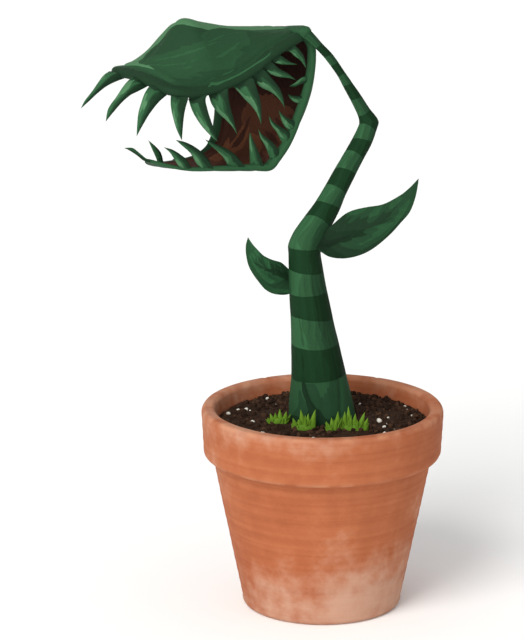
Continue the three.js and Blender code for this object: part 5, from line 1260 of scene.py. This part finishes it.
# ---------------------------------------------------------------- grass
TUFTS = [
    (289, 321, 628, [[295, 289.5, 619.5], [299, 293.5, 612.5], [303, 301.5, 611.5], [309, 308.5, 606], [316, 319, 609.5]]),
    (329, 364, 637.5, [[334, 328.5, 619.5], [338, 337.5, 621.5], [344, 341, 606.5], [351, 352.8, 612.5], [358, 364, 606.5]]),
    (380, 402, 639.5, [[385, 380, 625], [391, 388.5, 619], [397, 399, 609.5]]),
    (402, 446, 638, [[409, 409.5, 609.5], [416, 414.8, 601.5], [424, 426, 612.5], [433, 440.5, 610.5], [440, 445.5, 619.5]]),
]
BACK_TUFT = (-3, 13, 4, [[-2.8, -1.2, 3.6], [-1.2, -0.6, 5], [0.4, 0.6, 4.4], [1.8, 1.4, 5.2], [3, 1.6, 3.2]])


def blade(foot, tip, half, tone, seed, turn=0.0):
    """A grass blade: a folded, tapering leaf with a bow in it."""
    rows, sides = 18, 10
    t = np.linspace(0, 1, rows)
    d = tip - foot
    side = np.array([d[0], d[1], 0.0])
    c = foot + d * t[:, None] - side * (0.28 * 4 * t * (1 - t) * 0.6)[:, None]
    axis = unit(np.gradient(c, axis=0))
    e1 = unit(np.array([math.cos(turn), math.sin(turn), 0.0]) - axis * (axis @ np.array([math.cos(turn), math.sin(turn), 0.0]))[:, None])
    e2 = unit(np.cross(axis, e1))
    wide = half * (1 - t ** 1.6)
    wide[-1] = 0.01
    thick = half * 0.36 * (1 - 0.8 * t)
    thick[-1] = 0.008
    rings = tube(c, e1, wide, e2, thick, sides)
    phi = 2 * math.pi * np.arange(sides) / sides
    fold = 0.30 * np.abs(np.cos(phi))[None] * wide[:, None]
    rings = rings + e2[:, None] * fold[..., None]
    p, faces = loft(rings)
    shade = tone + 0.34 * t[:, None] - 0.10 + 0.08 * np.cos(phi)[None] * -1
    fibre = np.stack(np.broadcast_arrays(t[:, None] * 3.0, np.cos(phi)[None] * 2.4 + seed * 1.37, 0 * t[:, None]), -1)
    return p, faces, {"tone": spread(shade), "fibre": spread(fibre)}


def make_tuft(index, tuft, rng):
    if len(tuft[3][0]) == 3 and index < 4:
        u0, u1, row, blades = tuft
        ground = lambda u: on_plane(np.array(u, float), np.array(row, float), np.array([0, 0, SOIL_Z]), np.array([0, 0, 1.0]))
        a, b = ground(u0), ground(u1)
        feet = []
        for i, (u, tu, tv) in enumerate(blades):
            foot = ground(u) + [0, 0, 0.06]
            feet.append((foot, at(np.array(tu, float), np.array(tv, float), foot[1] + (0.5 if i % 2 else -0.4))))
        x, y, half = (a[0] + b[0]) / 2, a[1], (b[0] - a[0]) / 2 - 0.3
    else:
        x, y, half, blades = tuft
        feet = [(np.array([x + dx, y, SOIL_Z]), np.array([x + dx + lean, y + 0.8, SOIL_Z + h])) for dx, lean, h in blades]
    parts = []
    for i, (foot, tip) in enumerate(feet):
        parts.append(blade(foot - [0, 0, 1.0], tip, 1.12, 0.50, index * 40 + i, 0.10 * rng.standard_normal()))
    heights = [tip[2] - SOIL_Z for _, tip in feet]
    for i in range(30):
        k = rng.random()
        at_x = x + (2 * k - 1) * half * 0.98
        near = int(np.argmin([abs(f[0] - at_x) for f, _ in feet]))
        h = heights[near] * (0.36 + 0.36 * rng.random())
        foot = np.array([at_x, y + rng.uniform(-0.75, 0.85), SOIL_Z - 0.8])
        lean = (at_x - x) / half * 0.9 + rng.normal(0, 0.45)
        tip = foot + np.array([lean, rng.normal(0, 0.5), h + 0.8])
        parts.append(blade(foot, tip, 0.52 + 0.26 * rng.random(), 0.34 + 0.14 * rng.random(), index * 40 + 10 + i, rng.uniform(-0.9, 0.9)))
    # a dense crown where the blades join
    m, n = 22, 40
    lat, lon = np.linspace(0.04, math.pi - 0.04, m)[:, None], (2 * math.pi * np.arange(n) / n)[None]
    lump = 1 + 0.10 * noise(np.cos(lon) * 3 * half + 5, np.sin(lon) * 3, lat * 3, 90 + index)
    ball = np.stack([x + half * 1.04 * np.sin(lat) * np.cos(lon) * lump, y + 1.0 * np.sin(lat) * np.sin(lon) * lump,
                     SOIL_Z - 0.2 + 1.7 * np.cos(lat) * lump + 0 * lon], -1)
    p, faces = loft(ball)
    shade = 0.42 + 0.14 * noise(ball[..., 0] * 2.2, ball[..., 2] * 0.8, 0, 95 + index)
    parts.append((p, faces, {"tone": spread(shade), "fibre": spread(np.stack([ball[..., 2] * 0.8, ball[..., 0] * 2.6, ball[..., 1]], -1))}))
    points, faces, fields = merge([(q, oriented(q, f), g) for q, f, g in parts])
    put("grass_%d" % (index + 1), points, faces, GRASS, ["grass_tuft_%d" % (index + 1)], fields)


def oriented(p, faces):
    return [f[:, ::-1] for f in faces] if signed_volume(p, faces) < 0 else faces


# ---------------------------------------------------------------- pot and soil
BAND_Z = POT_HEIGHT - RIM_BAND


def wall_r(z):
    return POT_BASE_R + (POT_TOP_R - 2.4 - POT_BASE_R) * z / BAND_Z * 0.93


def inner_r(z):
    return wall_r(z) - POT_WALL


def soil_edge_r(z):
    r0, z0, r1, z1 = inner_r(BAND_Z) + 0.6, BAND_Z - 2, POT_TOP_R - 3.7, POT_HEIGHT - 0.8
    return r0 + (r1 - r0) * (z - z0) / (z1 - z0)


def rounded(profile, radius, steps=6):
    """A profile with each inner corner rounded; rows are [r, z, corner radius or None]."""
    pts = [np.array(p[:2], float) for p in profile]
    out = [pts[0]]
    for i in range(1, len(pts) - 1):
        k = profile[i][2] if len(profile[i]) > 2 else radius
        a, b, c = pts[i - 1], pts[i], pts[i + 1]
        la, lc = norm(b - a), norm(c - b)
        cut = min(k, la * 0.48, lc * 0.48)
        p0, p1 = b + (a - b) / la * cut, b + (c - b) / lc * cut
        for s in np.linspace(0, 1, steps):
            out.append((1 - s) ** 2 * p0 + 2 * s * (1 - s) * b + s * s * p1)
    out.append(pts[-1])
    return np.array(out)


def dense(profile, step):
    out = [profile[0]]
    for a, b in zip(profile[:-1], profile[1:]):
        k = max(1, int(math.ceil(norm(b - a) / step)))
        out += [a + (b - a) * i / k for i in range(1, k + 1)]
    return np.array(out)


def make_pot():
    profile = [
        [0, 0], [POT_BASE_R - 0.8, 0, 0.6], [POT_BASE_R, 0.8, 0.6], [wall_r(BAND_Z - 0.6), BAND_Z - 0.6, 0.7],
        [POT_TOP_R - 1.2, BAND_Z, 0.8], [POT_TOP_R - 0.6, BAND_Z + 0.7, 0.5], [POT_TOP_R, POT_HEIGHT - 1, 0.9],
        [POT_TOP_R - 0.7, POT_HEIGHT, 0.8], [POT_TOP_R - 3, POT_HEIGHT, 0.8], [POT_TOP_R - 3.7, POT_HEIGHT - 0.8, 0.8],
        [inner_r(BAND_Z) + 0.6, BAND_Z - 2, 0.6], [inner_r(POT_FLOOR) + 0.4, POT_FLOOR + 1.2, 0.6], [inner_r(POT_FLOOR) - 1, POT_FLOOR, 0.6], [0, POT_FLOOR],
    ]
    line = dense(rounded(profile, 0.6), 0.9)
    line = line[1:-1]
    n = 220
    phi = 2 * math.pi * np.arange(n) / n
    r, z = line[:, :1], line[:, 1:2]
    x, y = r * np.cos(phi)[None], r * np.sin(phi)[None]
    zz = z + 0 * x
    # slow out-of-round, turning rings and small nicks, all inside the drawn profile
    wob = 0.10 * noise(x / 22, y / 22, zz / 30, 101) + 0.05 * noise(x / 7, y / 7, zz / 7, 102) + 0.035 * np.sin(zz * 2.1 + 0.6 * noise(x / 15, y / 15, zz / 9, 103))
    outer = (r > inner_r(z) + 1.2) & (z > 1.5)
    gain = np.where(outer, 1.0, 0.3) * smooth(z, 0.3, 2.0)
    near_top = np.exp(-((zz - POT_HEIGHT + 0.4) / 0.7) ** 2) * (r > POT_TOP_R - 4)
    near_fold = np.exp(-((zz - BAND_Z - 0.3) / 0.6) ** 2) * (r > POT_TOP_R - 3)
    nick = smooth(noise(np.cos(phi)[None] * 16 + 0 * zz, np.sin(phi)[None] * 16, zz * 0.5, 104), 0.58, 0.85) * (near_top + 0.7 * near_fold)
    push = gain * (wob - 0.12) - 0.30 * nick
    scale = 1 + push / np.maximum(r, 4)
    rings = np.stack([x * scale, y * scale, zz - 0.18 * nick * near_top], -1)
    points, faces = loft(rings)
    wear = spread(np.clip(near_top * 0.9 + near_fold * 0.8 + nick, 0, 1) * smooth(noise(x / 3, y / 3, zz / 3, 105), -0.5, 0.5))
    height = spread(1 - smooth(zz, 0, 30) * 0.9 + 0.5 * np.exp(-((zz - POT_HEIGHT) / 5) ** 2))
    o = put("terracotta_pot", points, faces, CLAY, ["pot"], {"wear": wear, "height": height})
    # drain holes through the floor
    cutters = []
    for i in range(DRAIN_HOLES):
        a = 2 * math.pi * (i + 0.25) / DRAIN_HOLES
        bpy.ops.mesh.primitive_cylinder_add(vertices=48, radius=DRAIN_HOLE_R * MM, depth=(POT_FLOOR + 4) * MM,
                                            location=(DRAIN_HOLE_AT * math.cos(a) * MM, DRAIN_HOLE_AT * math.sin(a) * MM, POT_FLOOR / 2 * MM))
        cutters.append(bpy.context.object)
    bpy.ops.object.select_all(action="DESELECT")
    for i, cutter in enumerate(cutters):
        mod = o.modifiers.new("drain_%d" % i, "BOOLEAN")
        mod.operation, mod.solver, mod.object = "DIFFERENCE", "EXACT", cutter
    bpy.context.view_layer.update()
    cut = bpy.data.meshes.new_from_object(o.evaluated_get(bpy.context.evaluated_depsgraph_get()))
    o.modifiers.clear()
    o.data = cut
    cut.name = "terracotta_pot"
    for cutter in cutters:
        bpy.data.objects.remove(cutter)
    return o


def lumps(rng, count, size, where, tone_range, squash=0.75):
    """Small irregular lumps: a ball mesh pushed about, one for each place."""
    m, n = 6, 9
    lat, lon = np.linspace(0.12, math.pi - 0.12, m)[:, None], (2 * math.pi * np.arange(n) / n)[None]
    ball = np.stack([np.sin(lat) * np.cos(lon), np.sin(lat) * np.sin(lon), np.cos(lat) + 0 * lon], -1)
    parts = []
    for i in range(count):
        r = size(i)
        x, y, z = where(i, r)
        q = rng.standard_normal((3, 3))
        turn, _ = np.linalg.qr(q)
        b = ball * (1 + 0.42 * noise(ball[..., 0] * 1.7 + i * 3.1, ball[..., 1] * 1.7, ball[..., 2] * 1.7, 111))[..., None]
        b = (b * np.array([1.0, 0.8 + 0.3 * rng.random(), squash])) @ turn * r
        p, faces = loft(b + [x, y, z])
        tone = np.full(len(p), tone_range[0] + (tone_range[1] - tone_range[0]) * rng.random())
        parts.append((p, oriented(p, faces), {"tone": tone}))
    return parts


def soil_top(x, y):
    r = np.hypot(x, y)
    base = np.interp(r, [0, 15, 22, soil_edge_r(SOIL_EDGE_Z)], [SOIL_Z, SOIL_Z, SOIL_EDGE_Z + 0.5, SOIL_EDGE_Z])
    return base + 0.35 * fractal(x / 5, y / 5, 0, 121) + 0.22 * fractal(x / 1.4, y / 1.4, 0, 122)


def make_soil(rng):
    edge = soil_edge_r(SOIL_EDGE_Z) - 0.12
    n = 160
    phi = 2 * math.pi * np.arange(n) / n
    radii = np.linspace(0.5, edge, 62)
    x, y = radii[:, None] * np.cos(phi), radii[:, None] * np.sin(phi)
    top = np.stack([x, y, soil_top(x, y)], -1)
    below = [[edge - 0.1, SOIL_EDGE_Z - 1.2], [soil_edge_r(46) - 0.2, 46], [inner_r(BAND_Z) + 0.3, BAND_Z - 2], [inner_r(25) + 0.05, 25],
             [inner_r(POT_FLOOR) + 0.1, POT_FLOOR + 1.5], [inner_r(POT_FLOOR) - 1.3, POT_FLOOR + 0.3], [4, POT_FLOOR + 0.3]]
    down = np.array([np.stack([r * np.cos(phi), r * np.sin(phi), np.full(n, z)], -1) for r, z in below])
    points, faces = loft(np.concatenate([top, down]))
    tone = 0.42 + 0.2 * fractal(points[:, 0] / 3, points[:, 1] / 3, 0, 123)
    parts = [(points, oriented(points, faces), {"tone": tone})]
    foot_r = 8.6

    def place(i, r):
        while True:
            a, q = rng.uniform(0, 2 * math.pi), edge * math.sqrt(rng.random())
            if q > foot_r and q < edge - r * 0.9:
                px, py = q * math.cos(a), q * math.sin(a)
                return px, py, float(soil_top(np.array(px), np.array(py))) + r * 0.15

    parts += lumps(rng, 1400, lambda i: 0.22 + 0.75 * rng.random() ** 3.2, place, (0.15, 0.85))
    # crumbs pushed up round the stalk's foot
    def ring(i, r):
        a = rng.uniform(0, 2 * math.pi)
        q = 8.7 + 0.9 * rng.random()
        px, py = q * math.cos(a), q * math.sin(a)
        return px, py, SOIL_Z + 0.1 + r * 0.2

    parts += lumps(rng, 130, lambda i: 0.25 + 0.4 * rng.random() ** 2, ring, (0.15, 0.6))
    points, faces, fields = merge(parts)
    put("potting_mix", points, faces, PEAT, ["soil"], fields)
    grains = lumps(rng, 46, lambda i: 0.30 + 0.5 * rng.random() ** 1.6, place, (0.4, 0.6), 0.85)
    points, faces, fields = merge(grains)
    put("perlite_grains", points, faces, PERLITE, (), fields)


# ---------------------------------------------------------------- build
make_pot()
make_soil(np.random.default_rng(7))
make_stem()
make_leaf("leaf_right_blade", "leaf_right", LEAF_RIGHT, 201, LEAF_R)
make_leaf("leaf_left_blade", "leaf_left", LEAF_LEFT, 221, LEAF_L)
make_midrib()
make_upper()
make_lower()
make_bristles("upper_tooth", UPPER, UPPER_TEETH, UPPER_FAR_TEETH, True)
make_bristles("lower_tooth", LOWER, LOWER_TEETH, LOWER_FAR_TEETH, False)
tuft_rng = np.random.default_rng(11)
for number, one in enumerate(TUFTS + [BACK_TUFT]):
    make_tuft(number, one, tuft_rng)

# ---------------------------------------------------------------- floor, light and camera
floor_look = Look("floor", 0.9, 0.1)
floor_look.finish(floor_look.ramp(floor_look.grain(floor_look.place(), 3.0, 2.0), [(0.3, "#f6f6f5"), (0.7, "#fafaf9")]))
bpy.ops.mesh.primitive_circle_add(vertices=128, radius=7.0, fill_type="NGON", location=(0, 0, 0))
floor = bpy.context.object
floor.name = "studio_floor"
floor.data.materials.append(floor_look.material)

# a dim dome that brightens towards the horizon, like a lit cove round a studio floor
world = bpy.data.worlds.new("studio")
bpy.context.scene.world = world
world.use_nodes = True
tree = world.node_tree
where = tree.nodes.new("ShaderNodeTexCoord")
split = tree.nodes.new("ShaderNodeSeparateXYZ")
rise = tree.nodes.new("ShaderNodeMapRange")
rise.interpolation_type = "SMOOTHSTEP"
rise.inputs["From Min"].default_value, rise.inputs["From Max"].default_value = 0.10, 0.50
rise.inputs["To Min"].default_value, rise.inputs["To Max"].default_value = 1.04, 0.61
tree.links.new(where.outputs["Generated"], split.inputs[0])
tree.links.new(split.outputs["Z"], rise.inputs["Value"])
tree.links.new(rise.outputs[0], tree.nodes["Background"].inputs["Strength"])
tree.nodes["Background"].inputs["Color"].default_value = (0.99, 0.995, 1.0, 1)


def aim(o, place, target):
    o.location = place
    o.rotation_mode = "QUATERNION"
    o.rotation_quaternion = (Vector(target) - Vector(place)).to_track_quat("-Z", "Y")


sun_data = bpy.data.lights.new("sun", "SUN")
sun_data.energy, sun_data.angle, sun_data.color = 2.0, math.radians(28), (1.0, 0.99, 0.97)
sun = bpy.data.objects.new("sun", sun_data)
bpy.context.scene.collection.objects.link(sun)
aim(sun, (-0.50, -0.80, 0.95), (0, 0, 0))


def lamp(name, place, target, size, power, colour=(1, 1, 1)):
    data = bpy.data.lights.new(name, "AREA")
    data.shape, data.size, data.energy, data.color = "SQUARE", size, power, colour
    o = bpy.data.objects.new(name, data)
    bpy.context.scene.collection.objects.link(o)
    aim(o, place, target)
    return o


lamp("front", (-0.38, -0.95, 0.22), (-0.02, 0, 0.11), 0.40, 3.4)

PICTURE_W, PICTURE_H, SHRINK = 524, 640, 0.645
camera_data = bpy.data.cameras.new("view")
camera_data.sensor_fit = "AUTO"
camera_data.sensor_width = 36.0
camera_data.lens = 36.0 * VIEW_DISTANCE / (PICTURE_H / SHRINK * UNIT)
camera_data.clip_start, camera_data.clip_end = 0.05, 40.0
camera = bpy.data.objects.new("view", camera_data)
bpy.context.scene.collection.objects.link(camera)
camera.location = EYE * MM
camera.rotation_euler = (math.radians(90) - TILT, 0, 0)
bpy.context.scene.camera = camera
bpy.context.scene.view_settings.view_transform = "Standard"
bpy.context.scene.view_settings.look = "None"

bpy.context.view_layer.update()
